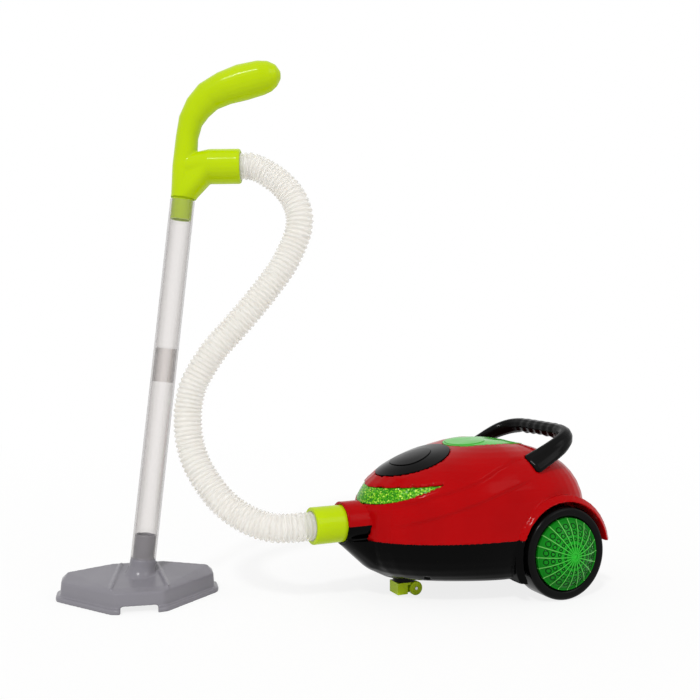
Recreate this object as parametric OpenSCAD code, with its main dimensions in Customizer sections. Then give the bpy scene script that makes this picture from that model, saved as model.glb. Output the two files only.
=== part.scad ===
// Toy canister vacuum cleaner with hose, wand and floor head, in millimetres.
// The canister drives towards -X and stands on Z = 0, with its left side towards -Y.

/* [Canister body] */
// From the crown of the hood to the nose
nose_length = 140; // [136:1:144]
// From the crown of the hood to the tail
tail_length = 111; // [109:1:116]
// Half the body's width at the crown
body_half_w = 82; // [81:1:85]
// Crown's distance behind the caster's rollers
crown_back = 77; // [75:1:79]
// Height of the seam between the two shells
seam_z = 63; // [62:1:65]
// Crown's height above the seam
hood_rise = 89; // [87:1:93]
// Belly's depth below the seam
belly_drop = 42; // [41:1:43]
// Wall of both shells
shell_wall = 2.4; // [2:0.1:2.8]

/* [Inlet snout] */
// Height of the snout's axis
snout_z = 78; // [76:1:80]
// Snout's reach in front of the nose
snout_reach = 17; // [14:1:20]
// Snout's wall
snout_wall = 2.6; // [2:0.1:3.2]
// Radius of the hose cuff
cuff_r = 18; // [17:0.5:19]
// Length of the cuff in front of the snout
cuff_shown = 31; // [28:1:34]
// Length of the cuff inside the snout
cuff_hidden = 24; // [20:1:28]

/* [Headlamp lens] */
// Lower edge of the lens at the nose
lens_low_z = 96.5; // [95.5:0.5:98]
// Upper edge of the lens at the nose
lens_high_z = 112; // [111:0.5:113.5]
// Height of the lens's two tips
lens_tip_z = 119; // [118:0.5:120]
// Angle from the nose to each tip, about the crown
lens_angle = 38; // [34:1:42]
// Wall of the lens
lens_wall = 2; // [1.6:0.1:2.4]

/* [Buttons] */
// Panel's centre behind the caster's rollers
panel_back = -2; // [-4:1:0]
// Length of the oval button panel
panel_length = 80; // [77:1:83]
// Width of the oval button panel
panel_width = 74; // [70:1:76]
// Length of the power button
power_length = 44; // [42:1:46]
// Width of the power button
power_width = 42; // [40:1:44]
// Red strip between the panel and the window
window_strip = 2; // [1.5:0.5:4]
// Length of the teardrop window
window_length = 90; // [88:1:94]
// Width of the teardrop window
window_width = 64; // [62:1:67]
// Length of the light button
light_length = 38; // [36:1:39]
// Width of the light button
light_width = 47; // [44:1:48]
// Travel of both buttons
button_travel = 2.5; // [1.5:0.5:3]

/* [Carry handle] */
// Handle's seats behind the caster's rollers
seat_back = 106; // [103:1:109]
// Height of the handle's seats
seat_z = 135; // [133:1:137]
// Distance of the seats from the middle
seat_out = 63.5; // [62.5:0.5:65]
// Length of the handle's arms, up the slope
arm_length = 58; // [54:1:64]
// Slope of the arms
arm_slope = 25; // [22:1:28]
// Thickness of the grip bar
bar_thick = 16.5; // [15:0.5:18]
// Height of the arms where they seat
paddle_height = 24; // [22:1:26]
// Thickness of the arms where they seat
paddle_thick = 8; // [7:0.5:9]

/* [Rear wheels] */
// Radius of the rear wheels
wheel_r = 46; // [44.5:0.5:47]
// Width of the rear wheels
wheel_w = 30; // [27:1:32]
// Axle's distance behind the caster's rollers
wheel_back = 126; // [124:1:128]
// Distance of the wheels' outer faces from the middle
wheel_out = 88; // [87:0.5:90]
// Radius of the green hub caps
cap_r = 35.5; // [34:0.5:36.5]
// Rise of the hub caps' domes
cap_rise = 14; // [11:0.5:15]
// Number of radial ribs on a hub cap
cap_ribs = 20; // [16:2:24]
// Radius of the steel axle
axle_r = 2.5; // [2:0.1:3]
// Gap between a tyre and its arch
arch_gap = 5; // [4:0.5:6]
// Depth of the fender round the arch
fender_depth = 6; // [4:0.5:7]

/* [Caster] */
// Radius of the caster's rollers
roller_r = 7; // [6:0.5:7.5]
// Width of each roller
roller_w = 4.5; // [4:0.5:6]
// Rollers' distance behind the swivel
caster_trail = 10; // [9:0.5:12]
// Radius of the swivel's stem
stem_r = 4; // [3.5:0.25:4.5]

/* [Hose] */
// Outer radius of the hose's ribs
hose_r = 14.2; // [13.5:0.1:14.8]
// Radius between the ribs
hose_valley_r = 12.4; // [12:0.1:13]
// Radius of the hose's bore
hose_bore_r = 11; // [10:0.1:11.5]
// Spacing of the ribs along the hose
rib_pitch = 4.6; // [4.2:0.1:5.2]
// Depth of the hose inside each end socket
hose_seat = 20; // [16:0.5:21]

/* [Wand] */
// Outer radius of the clear tubes
tube_r = 12.5; // [12:0.1:13.5]
// Wall of the clear tubes
tube_wall = 1.6; // [1.3:0.1:2]
// Foot of the lower tube above the floor, along the wand
lower_tube_foot = 40; // [37:1:43]
// Length of the lower tube
lower_tube_length = 210; // [190:1:230]
// Length of the upper tube that shows
upper_tube_shown = 152; // [130:1:180]
// Length of the upper tube's neck in the lower tube
neck_length = 34; // [28:1:40]
// Length of the handle's spigot in the upper tube
spigot_length = 20; // [16:1:24]
// Wand's lean from upright
wand_lean = 6.9; // [4:0.1:9]
// Heading of that lean
wand_lean_heading = 12; // [0:1:20]

/* [Wand handle] */
// Heading of the handle's crook
grip_heading = -25; // [-35:1:-15]
// Reach of the crook from the wand's axis
grip_reach = 86; // [80:1:92]
// Rise of the crook above the collar
grip_rise = 138; // [132:1:142]
// Greatest depth of the crook
grip_depth = 38; // [35:1:40]
// Width of the crook from side to side
grip_width = 32; // [30:1:35]
// Radius of the hose outlet
outlet_r = 18; // [17.5:0.5:19]
// Outlet's height above the collar
outlet_rise = 33; // [31:1:35]
// Outlet's reach from the wand's axis
outlet_reach = 56; // [53:1:60]

/* [Floor head] */
// Heading of the head's long side
head_heading = -12; // [-18:1:-6]
// Length of the head's back edge
head_length = 160; // [154:1:166]
// Length of the head's front edge
head_front = 50; // [44:1:56]
// Depth in front of the wand
head_ahead = 50; // [47:1:54]
// Depth behind the wand
head_behind = 40; // [37:1:44]
// Height of the head's back
head_rise = 30; // [28:1:33]
// Height of the head's front ridge
head_low = 21; // [20:1:23]
// Height of the rim round the head's foot
head_rim = 4.5; // [4:0.5:6]
// Wall of the head
head_wall = 2.2; // [1.8:0.1:2.6]
// Width of the notch in the front rim
notch_width = 35; // [30:1:40]
// Height of that notch
notch_height = 6; // [5:0.5:7]

/* [Placement] */
// Caster rollers' contact, along X
canister_x = 70.6; // [60:0.1:80]
// Caster rollers' contact, along Y
canister_y = -27.3; // [-35:0.1:-20]
// Wand's foot in front of the caster's rollers
wand_ahead = 256; // [240:1:280]
// Wand's foot to the right of the caster's rollers
wand_aside = 97; // [90:1:110]

/* [Hidden] */
$fn = 64;

// Clearances: a snug fit in one body, a running fit between bodies, and the overrun of every cut
snug = 0.1;
run_fit = 0.08;
part_gap = 0.3;
overrun = 1;

// Powers of the body's curves: the outline at the seam, and the run and rise from seam to crown
nose_plan_power = 1.95;
tail_plan_power = 2.8;
side_power = 3;
nose_run_power = 1.4;
nose_rise_power = 3.6;
tail_run_power = 1.95;
tail_rise_power = 3;
hood_steps = 60;
hood_rows = 12;
lining_steps = 36;
lining_rows = 7;
fine_fn = 40;
plain_fn = 20;

// Corner of the belly: how far it draws in at the nose, the sides and the tail
belly_nose_corner = 44;
belly_side_corner = 20;
belly_tail_corner = 26;
belly_rows = 7;
lining_belly_rows = 4;
belly_z = seam_z - belly_drop;
floor_z = belly_z + shell_wall;

// Wheel wells and fenders
axle_z = wheel_r;
arch_r = wheel_r + arch_gap;
fender_r = arch_r + fender_depth;
fender_inset = 1.5;
fender_out = wheel_out - fender_inset;
fender_in = 44;
fender_round = 5;
fender_tip = 9;
fender_tip_in = 14;
well_side_gap = 3;
well_in = wheel_out - wheel_w - well_side_gap;
clip_span = 2 * (nose_length + tail_length);

// Snout and cuff
cuff_gap = 0.4;
snout_bore_r = cuff_r + cuff_gap;
snout_r = snout_bore_r + snout_wall;
nose_x = crown_back - nose_length;
snout_x = nose_x - snout_reach;
snout_depth = cuff_hidden + snout_wall;
cuff_end_x = snout_x - cuff_shown;
cuff_lip = 1.2;
chin_back = 22;
chin_drop = 31;
chin_r = 19;
chin_tail = 50;
chin_spread_share = 1.4;
cuff_bore_r = hose_bore_r;

// Lens band
lens_inset = 0.8;
lens_gap = 0.25;
lens_steps = 24;
lens_rise_power = 2;
lens_top_power = 1.2;
lens_tip_height = 1.4;

// Lamps behind the lens
lamp_board_thick = 1.6;
lamp_board_height = 13;
lamp_board_width = 36;
lamp_r = 2.5;
lamp_spacing = 20;
lamp_back = 9;
lamp_tip_gap = 4;
lamp_shelf_thick = 2.4;
lamp_shelf_depth = 26;

// Button panel, window and what they carry
panel_wall = 2.6;
panel_proud = 1;
power_proud = 1.8;
window_wall = 2.2;
window_proud = 0.6;
light_proud = 1.2;
button_gap = 0.35;
flange_lip = 1.6;
flange_thick = 1.2;
panel_taper_share = -0.12;
power_taper_share = 0.15;
window_taper_share = 0.14;
light_taper_share = 0;
light_offset_share = -0.26;
outline_steps = 36;
button_stem_r = 3.5;
button_stem_length = 6;
switch_size = 6;
switch_height = 3.6;
plunger_r = 1.7;
plunger_height = 1.2;
board_thick = 1.6;
panel_post_r = 3;
panel_post_shares = [[-0.37, -0.16], [-0.37, 0.16], [0.38, -0.16], [0.38, 0.16]];
window_post_r = 2.4;
window_post_shares = [[0.05, -0.33], [0.05, 0.33], [0.42, 0]];
board_screw_r = 1.1;
board_screw_head_r = 2.1;
board_screw_head = 1.4;
board_screw_length = 6;
panel_board_length_share = 0.86;
panel_board_width_share = 0.5;
window_board_length_share = 0.9;
window_board_width_share = 0.82;

// Carry handle
handle_steps = 48;
handle_sides = 10;
handle_run_power = 3;
handle_side_power = 5;
paddle_ahead = 7;
paddle_roll = 45;
paddle_tip_share = 0.4;
paddle_end_share = 0.75;
finger_count = 5;
finger_span_share = 0.66;
finger_depth = 1.3;
handle_screw_r = 1.5;
handle_screw_head_r = 2.4;
handle_screw_head = 1.6;
handle_screw_bite = 5;
handle_pad_r = 15;
handle_pad_depth = 11;

// Shell screws and their posts
post_r = 4.5;
post_root_r = 6;
post_front_x = -8;
post_front_y = 45;
post_back_x = 164;
post_back_y = 34;
shell_screw_r = 1.6;
shell_screw_head_r = 3.2;
shell_screw_head = 2.4;
shell_screw_length = 34;
screw_pocket_r = 3.5;
screw_seat_z = seam_z - 14;

// Battery bay in the belly
cell_r = 7.2;
cell_length = 50.5;
cell_count = 3;
cell_pitch = 15.2;
contact_thick = 0.5;
contact_height = 12;
bay_x = 52;
bay_wall = 3;
bay_length = cell_length + 2 * contact_thick + 2 * part_gap;
bay_width = cell_count * cell_pitch;
door_thick = 2;
door_lip = 2.6;
door_gap = 0.25;
cell_z = belly_z + door_thick + cell_r + part_gap;
bay_roof_z = cell_z + cell_r + part_gap;
door_ear_r = 5;
door_screw_r = 1.3;
door_screw_head_r = 2.4;
door_screw_head = 1.2;
door_screw_length = 9;

// Speaker over its slots in the belly
speaker_x = 146;
speaker_r = 17;
speaker_magnet_r = 9;
speaker_rim = 4;
speaker_height = 11;
speaker_slots = 5;
speaker_slot_w = 2;
speaker_slot_pitch = 5;
speaker_fence = 1.8;

// Rear wheel
tyre_depth = wheel_r - cap_r - part_gap;
tyre_round = 4;
web_z = 19;
web_thick = 4;
boss_r = 7;
cap_wall = 2;
cap_rib_height = 0.8;
cap_rib_w = 1.2;
cap_rib_start = 3;
cap_seat = 5;
push_nut_r = 6;
push_nut_thick = 1.2;
push_nut_gap = 0.4;
axle_tail = 1.6;

// Caster
tongue_w = 7;
roller_gap = 0.4;
block_w = 18;
block_front = 11;
block_z = 2.5;
block_top_z = 14;
caster_axle_r = 1.5;
roller_bore_r = caster_axle_r + run_fit;
bush_r = 11;
bush_barrel_r = 7;
bush_barrel = 14;
bush_gap = 0.4;
caster_screw_head_r = 6.2;
caster_screw_head = 1.8;
caster_screw_r = 1.5;
caster_screw_length = 12;

// Hose: its sides, and the route from the cuff to the wand's handle in the canister's frame
hose_sides = 8;
hose_stub = 2 * hose_r;
hose_route = [
    [-134, 1, 78], [-149, 5, 79], [-163, 14, 83], [-177, 24, 91], [-190, 35, 103], [-201, 47, 120],
    [-209, 57, 138], [-213, 65, 157], [-214, 69, 177], [-212, 71, 196], [-206, 70, 217], [-189, 65, 246],
    [-172, 61, 266], [-155, 57, 286], [-139, 54, 306], [-123, 51, 328], [-112, 50, 348], [-105, 49, 366],
    [-103, 50, 381], [-105, 53, 394], [-110, 58, 406], [-118, 64, 417], [-127, 70, 425], [-136, 75, 431]
];
route_steps = 8;

// Wand: heights along it, from the floor
tube_bore_r = tube_r - tube_wall;
lower_tube_top = lower_tube_foot + lower_tube_length;
upper_tube_top = lower_tube_top + upper_tube_shown;
collar_gap = 2;
collar_s = upper_tube_top + collar_gap;
spigot_wall = 2;
spigot_r = tube_bore_r - snug;
spigot_bore_r = spigot_r - spigot_wall;
spigot_root = 22;
outlet_tilt = 6.3;
outlet_rim = 2;
duct_r = 9;
slice = 0.4;
// Along the crook: reach and rise of its centre, its slope, and its depth and width
grip_shares = [
    [0.01, 0, 90, 0.68, 0.8], [-0.02, 0.24, 90, 0.66, 0.8], [-0.03, 0.46, 88, 0.6, 0.8],
    [-0.01, 0.586, 74, 0.66, 0.82], [0.06, 0.692, 56, 0.76, 0.88], [0.167, 0.784, 43, 0.84, 0.93],
    [0.347, 0.86, 29, 0.92, 0.98], [0.55, 0.917, 23, 1, 1], [0.765, 0.966, 18, 0.95, 0.97],
    [0.87, 0.985, 14, 0.83, 0.86], [0.95, 0.996, 10, 0.58, 0.62], [1, 1, 8, 0.2, 0.22]
];
grip_fn = 24;
half_gap = 0.1;
socket_gap = 0.45;
grip_screw_r = 1.4;
grip_screw_head_r = 2.8;
grip_screw_head = 2;
grip_screw_shares = [[0.02, 0.46], [0.3, 0.84], [0.72, 0.955]];
outlet_root_share = 0.42;

// Floor head
head_round = 13;
head_inset = 4;
head_top_inset = 14;
head_side_low = 18;
head_back_run = 32;
rib_back_half = 17;
rib_front_half = 27;
rib_w = 3;
rib_proud = 1.2;
head_edge = 1;
head_ridge = 138;
head_ridge_z = 24;
head_fn = 32;
head_neck_r = tube_bore_r - part_gap;
head_neck_wall = 2;
head_neck_seat = 24;
head_neck_top = lower_tube_foot + head_neck_seat;
head_flare_r = tube_r;
head_root_r = 19;
// Up the flare: its height, and how far it still spreads
flare_shares = [[0, 1], [0.18, 0.55], [0.36, 0.25], [0.6, 0.06], [0.97, 0]];

// Distance from the crown to the seam's outline, at an angle about the crown
function plan_reach(a, grow) =
    let (c = cos(a), s = sin(a))
    let (far = c < 0 ? nose_length : tail_length, p = c < 0 ? nose_plan_power : tail_plan_power)
    pow(pow(abs(c) / (far + grow), p) + pow(abs(s) / (body_half_w + grow), p), -1 / p);
// Powers of the hood's run and rise at that angle
function hood_run(a) =
    side_power + pow(cos(a), 2) * ((cos(a) < 0 ? nose_run_power : tail_run_power) - side_power);
function hood_lift(a) =
    side_power + pow(cos(a), 2) * ((cos(a) < 0 ? nose_rise_power : tail_rise_power) - side_power);
function hood_point(a, t, grow) =
    let (r = plan_reach(a, grow) * pow(cos(t), 2 / hood_run(a)))
    [crown_back + r * cos(a), r * sin(a), seam_z + (hood_rise + grow) * pow(sin(t), 2 / hood_lift(a))];
// Point of the hood at an angle and a height
function hood_at(a, z, grow) =
    let (v = (z - seam_z) / (hood_rise + grow))
    let (r = plan_reach(a, grow) * pow(max(0, 1 - pow(v, hood_lift(a))), 1 / hood_run(a)))
    [crown_back + r * cos(a), r * sin(a), z];
// Height of the hood over a place in the plan
function hood_height(x, y) =
    let (a = atan2(y, x - crown_back), u = norm([x - crown_back, y]) / plan_reach(a, 0))
    seam_z + hood_rise * pow(max(0, 1 - pow(u, hood_run(a))), 1 / hood_lift(a));
function hood_slope(x, reach) =
    atan2(hood_height(x + reach, 0) - hood_height(x - reach, 0), 2 * reach);
// Height of the hood above its tangent plane at x
function hood_local(x, reach, p) =
    let (t = hood_slope(x, reach))
    (hood_height(x + p[0] * cos(t), p[1]) - hood_height(x, 0) - p[0] * sin(t)) * cos(t);

function belly_corner(a) =
    let (far = cos(a) < 0 ? belly_nose_corner : belly_tail_corner)
    belly_side_corner + pow(cos(a), 2) * (far - belly_side_corner);
function belly_point(a, t, grow) =
    let (r = plan_reach(a, grow) - belly_corner(a) * (1 - cos(t)))
    [crown_back + r * cos(a), r * sin(a), seam_z - (belly_drop + grow) * sin(t)];

// Egg-shaped outline, narrower towards the tail by its taper
function egg(length, width, taper, grow, steps) = [
    for (i = [0 : steps - 1])
        let (a = 360 * i / steps, k = 1 - taper * cos(a))
        [(length / 2 + grow) * cos(a), (width / 2 * k + grow) * sin(a)]
];
function mean(points) = [for (k = [0 : 2]) [for (p = points) p[k]] * [for (p = points) 1 / len(points)]];
function flat(lists) = [for (l = lists) for (x = l) x];

// Solid skinned over a stack of rings, closed at both ends
module skin(rings) {
    n = len(rings[0]);
    m = len(rings);
    points = concat(flat(rings), [mean(rings[0]), mean(rings[m - 1])]);
    sides = [
        for (i = [0 : m - 2], j = [0 : n - 1])
            let (k = (j + 1) % n, a = i * n + j, b = a + n, c = (i + 1) * n + k, d = i * n + k)
            each [[a, b, c], [a, c, d]]
    ];
    ends = [
        for (j = [0 : n - 1])
            let (k = (j + 1) % n, top = (m - 1) * n)
            each [[m * n, j, k], [m * n + 1, top + k, top + j]]
    ];
    polyhedron(points, concat(sides, ends));
}

// Solid skinned over a closed round of rings, such as a tube with a bore
module skin_round(rings) {
    n = len(rings[0]);
    m = len(rings);
    polyhedron(flat(rings), [
        for (i = [0 : m - 1], j = [0 : n - 1])
            let (k = (j + 1) % n, up = (i + 1) % m)
            let (a = i * n + j, b = up * n + j, c = up * n + k, d = i * n + k)
            each [[a, b, c], [a, c, d]]
    ]);
}

// Frames
module on_canister() {
    translate([canister_x, canister_y, 0]) children();
}
module on_hood(x, reach) {
    translate([x, 0, hood_height(x, 0)]) rotate([0, -hood_slope(x, reach), 0]) children();
}
// A wheel's own frame: its axis is Z, from the inner face outwards
module on_wheel(side) {
    translate([wheel_back, side * (wheel_out - wheel_w), axle_z]) rotate([-90 * side, 0, 0]) children();
}
wand_at = [canister_x - wand_ahead, canister_y + wand_aside, 0];
module on_wand() {
    translate(wand_at)
        rotate([0, 0, wand_lean_heading])
            rotate([0, wand_lean, 0])
                rotate([0, 0, grip_heading - wand_lean_heading])
                    children();
}
module on_outlet() {
    translate([0, 0, collar_s + outlet_rise]) rotate([0, 90 - outlet_tilt, 0]) children();
}
function turn_z(a, p) = [p[0] * cos(a) - p[1] * sin(a), p[0] * sin(a) + p[1] * cos(a), p[2]];
function turn_y(a, p) = [p[0] * cos(a) + p[2] * sin(a), p[1], p[2] * cos(a) - p[0] * sin(a)];
// A direction of the wand's frame, in the part's frame
function wand_way(p) =
    turn_z(wand_lean_heading, turn_y(wand_lean, turn_z(grip_heading - wand_lean_heading, p)));

// Body forms
module hood_solid(grow, skirt) {
    steps = skirt > 0 ? lining_steps : hood_steps;
    count = skirt > 0 ? lining_rows : hood_rows;
    ring = [for (j = [0 : steps - 1]) 360 * j / steps];
    rows = [for (i = [0 : count - 1]) 90 * i / count];
    rings = [for (t = rows) [for (a = ring) hood_point(a, t, grow)]];
    tip = [for (a = ring) hood_point(a, 90 * (1 - 1 / (4 * count)), grow)];
    foot = [for (p = rings[0]) [p[0], p[1], p[2] - skirt]];
    skin(concat(skirt > 0 ? [foot] : [], rings, [tip]));
}
module belly_solid(grow, skirt) {
    steps = skirt > 0 ? lining_steps : hood_steps;
    count = skirt > 0 ? lining_belly_rows : belly_rows;
    ring = [for (j = [0 : steps - 1]) 360 * j / steps];
    rings = [for (i = [count : -1 : 0]) [for (a = ring) belly_point(a, 90 * i / count, grow)]];
    head = [for (p = rings[count]) [p[0], p[1], p[2] + skirt]];
    skin(concat(rings, skirt > 0 ? [head] : []));
}
module fender(side, grow) {
    translate([wheel_back, side * fender_in, axle_z]) rotate([-90 * side, 0, 0]) hull() {
        cylinder(r = fender_r + grow, h = fender_out - fender_in - fender_round, $fn = fine_fn);
        cylinder(r = fender_r + grow - fender_round, h = fender_out - fender_in + grow, $fn = fine_fn);
    }
}
module well(side, grow) {
    translate([wheel_back, side * (well_in - grow), axle_z])
        rotate([-90 * side, 0, 0])
            cylinder(r = arch_r + grow, h = wheel_out, $fn = fine_fn);
}
module above(z) {
    translate([-clip_span / 2, -clip_span / 2, z]) cube(clip_span);
}
module below(z) {
    translate([-clip_span / 2, -clip_span / 2, z - clip_span]) cube(clip_span);
}
module snout(r, from_x, length) {
    translate([from_x, 0, snout_z]) rotate([0, 90, 0]) cylinder(r = r, h = length, $fn = fine_fn);
}
function lens_edge(a) = abs(a) / lens_angle;
function lens_low(a) =
    lens_low_z + (lens_tip_z - lens_tip_height - lens_low_z) * pow(lens_edge(a), lens_rise_power);
function lens_high(a) = lens_high_z + (lens_tip_z - lens_high_z) * pow(lens_edge(a), lens_top_power);
module lens_band(out, in, edge) {
    skin([
        for (i = [0 : lens_steps])
            let (a = lens_angle * (2 * i / lens_steps - 1))
            let (low = lens_low(a) - edge, high = lens_high(a) + edge)
            concat(
                [for (k = [0 : 3]) hood_at(180 + a, high + (low - high) * k / 3, out)],
                [for (k = [0 : 1]) hood_at(180 + a, low + (high - low) * k, in)]
            )
    ]);
}
module hood_cut(x, length, width, taper, grow) {
    on_hood(x, length / 2)
        translate([0, 0, -length / 2])
            linear_extrude(length)
                polygon(egg(length, width, taper, grow, outline_steps));
}
module shell_posts() {
    for (side = [-1, 1]) {
        translate([post_front_x, side * post_front_y, 0]) children();
        translate([post_back_x, side * post_back_y, 0]) children();
    }
}

// Red upper shell: hood, fenders, wheel wells, screw posts and the upper half of the snout
module upper_shell() {
    $fn = plain_fn;
    color("crimson") on_canister() difference() {
        union() {
            difference() {
                union() {
                    hood_solid(0, 0);
                    for (side = [-1, 1]) upper_fender(side, 0);
                }
                hood_solid(-shell_wall, overrun);
                for (side = [-1, 1]) fender(side, -shell_wall);
            }
            intersection() {
                union() {
                    for (side = [-1, 1]) well(side, shell_wall);
                    shell_posts() translate([0, 0, seam_z]) hull() {
                        cylinder(r = post_r, h = shell_wall);
                        translate([0, 0, hood_rise - shell_wall]) cylinder(r = post_root_r, h = shell_wall);
                    }
                    for (side = [-1, 1])
                        translate([seat_back, side * seat_out, seat_z]) rotate([90 * side, 0, 0]) hull() {
                            cylinder(r = handle_pad_r, h = handle_pad_depth);
                            cylinder(r = handle_pad_r - shell_wall, h = handle_pad_depth + shell_wall);
                        }
                    hull() {
                        translate([nose_x, -lamp_board_width / 2, lens_low_z - lamp_shelf_thick])
                            cube([lamp_shelf_depth, lamp_board_width, lamp_shelf_thick]);
                        translate([nose_x, -lamp_board_width / 2, lens_low_z - 2 * lamp_shelf_thick])
                            cube([lamp_shelf_thick, lamp_board_width, lamp_shelf_thick]);
                    }
                }
                union() {
                    hood_solid(-shell_wall / 2, 0);
                    for (side = [-1, 1]) upper_fender(side, -shell_wall / 2);
                }
            }
            intersection() {
                snout(snout_r, snout_x, snout_depth);
                above(snout_z);
            }
        }
        for (side = [-1, 1]) well(side, 0);
        lens_band(shell_wall, -3 * shell_wall, lens_gap);
        hood_cut(panel_back, panel_length, panel_width, panel_taper_share, part_gap);
        hood_cut(window_back, window_length, window_width, window_taper_share, part_gap);
        carry_handle_form(part_gap);
        snout(snout_bore_r, snout_x - overrun, snout_depth + 2 * overrun);
        intersection() {
            snout(snout_r + part_gap, snout_x - overrun, snout_depth + 2 * overrun);
            below(snout_z);
        }
        shell_posts() translate([0, 0, seam_z - overrun])
            cylinder(r = shell_screw_r + snug, h = shell_screw_length);
        handle_screw_places() cylinder(r = handle_screw_r + snug, h = seat_out);
    }
}

// Black lower shell: belly, wheel wells, screw posts, battery bay and the lower half of the snout
module lower_shell() {
    $fn = plain_fn;
    color([0.06, 0.06, 0.06]) on_canister() difference() {
        union() {
            difference() {
                union() {
                    belly_solid(0, 0);
                    for (side = [-1, 1]) lower_fender(side, 0, 0);
                    chin();
                }
                belly_solid(-shell_wall, overrun);
                for (side = [-1, 1]) lower_fender(side, -shell_wall, overrun);
            }
            intersection() {
                union() {
                    for (side = [-1, 1]) well(side, shell_wall);
                    shell_posts() hull() {
                        translate([0, 0, belly_z + shell_wall / 2]) cylinder(r = post_root_r, h = shell_wall);
                        translate([0, 0, seam_z - shell_wall]) cylinder(r = post_r, h = shell_wall);
                    }
                    translate([-caster_trail, 0, belly_z + shell_wall / 2]) hull() {
                        cylinder(r = bush_barrel_r + 2 * shell_wall, h = shell_wall);
                        cylinder(r = bush_barrel_r + shell_wall, h = bush_barrel - shell_wall);
                    }
                    door_screw_place() hull() {
                        cylinder(r = door_ear_r, h = door_screw_length + 2 * shell_wall);
                        cylinder(r = door_ear_r + shell_wall, h = 2 * shell_wall);
                    }
                    bay_block(bay_wall, bay_roof_z + shell_wall);
                    translate([speaker_x, 0, belly_z + shell_wall / 2])
                        cylinder(r = speaker_r + part_gap + speaker_fence, h = shell_wall / 2 + speaker_rim);
                }
                union() {
                    belly_solid(-shell_wall / 2, 0);
                    for (side = [-1, 1]) lower_fender(side, -shell_wall / 2, 0);
                }
            }
            intersection() {
                snout(snout_r, snout_x, snout_depth);
                below(snout_z);
            }
        }
        for (side = [-1, 1]) well(side, 0);
        snout(snout_bore_r, snout_x - overrun, snout_depth + 2 * overrun);
        shell_posts() {
            translate([0, 0, belly_z - overrun])
                cylinder(r = screw_pocket_r, h = screw_seat_z - belly_z + overrun);
            translate([0, 0, belly_z]) cylinder(r = shell_screw_r + snug, h = belly_drop + overrun);
        }
        translate([-caster_trail, 0, belly_z - overrun]) cylinder(r = bush_barrel_r + snug, h = belly_drop);
        bay_block(0, bay_roof_z);
        battery_door_form(door_gap);
        door_screw_place() translate([0, 0, -overrun])
            cylinder(r = door_screw_r + snug, h = door_screw_length + shell_wall + overrun);
        translate([speaker_x, 0, floor_z]) cylinder(r = speaker_r + part_gap, h = belly_drop);
        for (i = [0 : speaker_slots - 1])
            translate([speaker_x + (i - (speaker_slots - 1) / 2) * speaker_slot_pitch, 0, belly_z])
                cube([speaker_slot_w, 2 * speaker_magnet_r, 4 * shell_wall], center = true);
        translate([wheel_back, 0, axle_z]) rotate([90, 0, 0])
            cylinder(r = axle_r + snug, h = 2 * wheel_out, center = true);
    }
}
module upper_fender(side, grow) {
    intersection() {
        fender(side, grow);
        above(seam_z);
    }
    intersection() {
        fender(side, grow);
        above(seam_z - fender_tip);
        translate([wheel_back + arch_r / 2, -fender_out * (1 - side), 0])
            cube([fender_r, 2 * fender_out, seam_z + shell_wall]);
        translate([0, side * (fender_in + fender_tip_in), 0]) rotate([0, 0, 90 * (side - 1)])
            translate([-clip_span / 2, 0, 0]) cube(clip_span);
    }
}
module lower_fender(side, grow, skirt) {
    intersection() {
        fender(side, grow);
        below(seam_z + skirt);
        above(belly_z - grow);
        translate([wheel_back - clip_span, -clip_span / 2, 0]) cube(clip_span);
    }
}
// Chin that carries the snout's lower half down into the belly
module chin() {
    intersection() {
        hull() {
            snout(snout_r, snout_x, snout_reach);
            translate([nose_x + chin_back, 0, snout_z - chin_drop])
                scale([1, chin_spread_share, 1])
                    sphere(r = chin_r);
            translate([nose_x + chin_tail, 0, belly_z]) cylinder(r = chin_r, h = shell_wall);
        }
        below(seam_z);
        above(belly_z);
    }
}
module bay_block(wall, top_z) {
    past = wall > 0 ? 0 : overrun;
    translate([bay_x - bay_length / 2 - wall, -bay_width / 2 - wall, belly_z - past])
        cube([bay_length + 2 * wall, bay_width + 2 * wall, top_z - belly_z + past]);
}

// Green headlamp lens, a band of the hood's own surface set in a little
module headlamp_lens() {
    color([0.35, 0.8, 0.1, 0.7]) on_canister() lens_band(-lens_inset, -lens_inset - lens_wall, 0);
}
lens_back_x = hood_at(180, lens_low_z + lamp_board_height / 2, -lens_inset - lens_wall)[0];
lamp_x = lens_back_x + lamp_tip_gap + lamp_back;
// Lamp board standing on the shelf behind the lens
module lamp_board() {
    color("seagreen") on_canister()
        translate([lamp_x, -lamp_board_width / 2, lens_low_z])
            cube([lamp_board_thick, lamp_board_width, lamp_board_height]);
}
// Two lamps on the board, pointing at the lens
module headlamp_leds() {
    color("honeydew") on_canister() for (side = [-1, 1])
        translate([lamp_x, side * lamp_spacing / 2, lens_low_z + lamp_board_height / 2]) rotate([0, -90, 0]) {
            cylinder(r = lamp_r, h = lamp_back - 2 * lamp_r);
            translate([0, 0, lamp_back - 2 * lamp_r]) sphere(r = lamp_r);
        }
}

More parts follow.
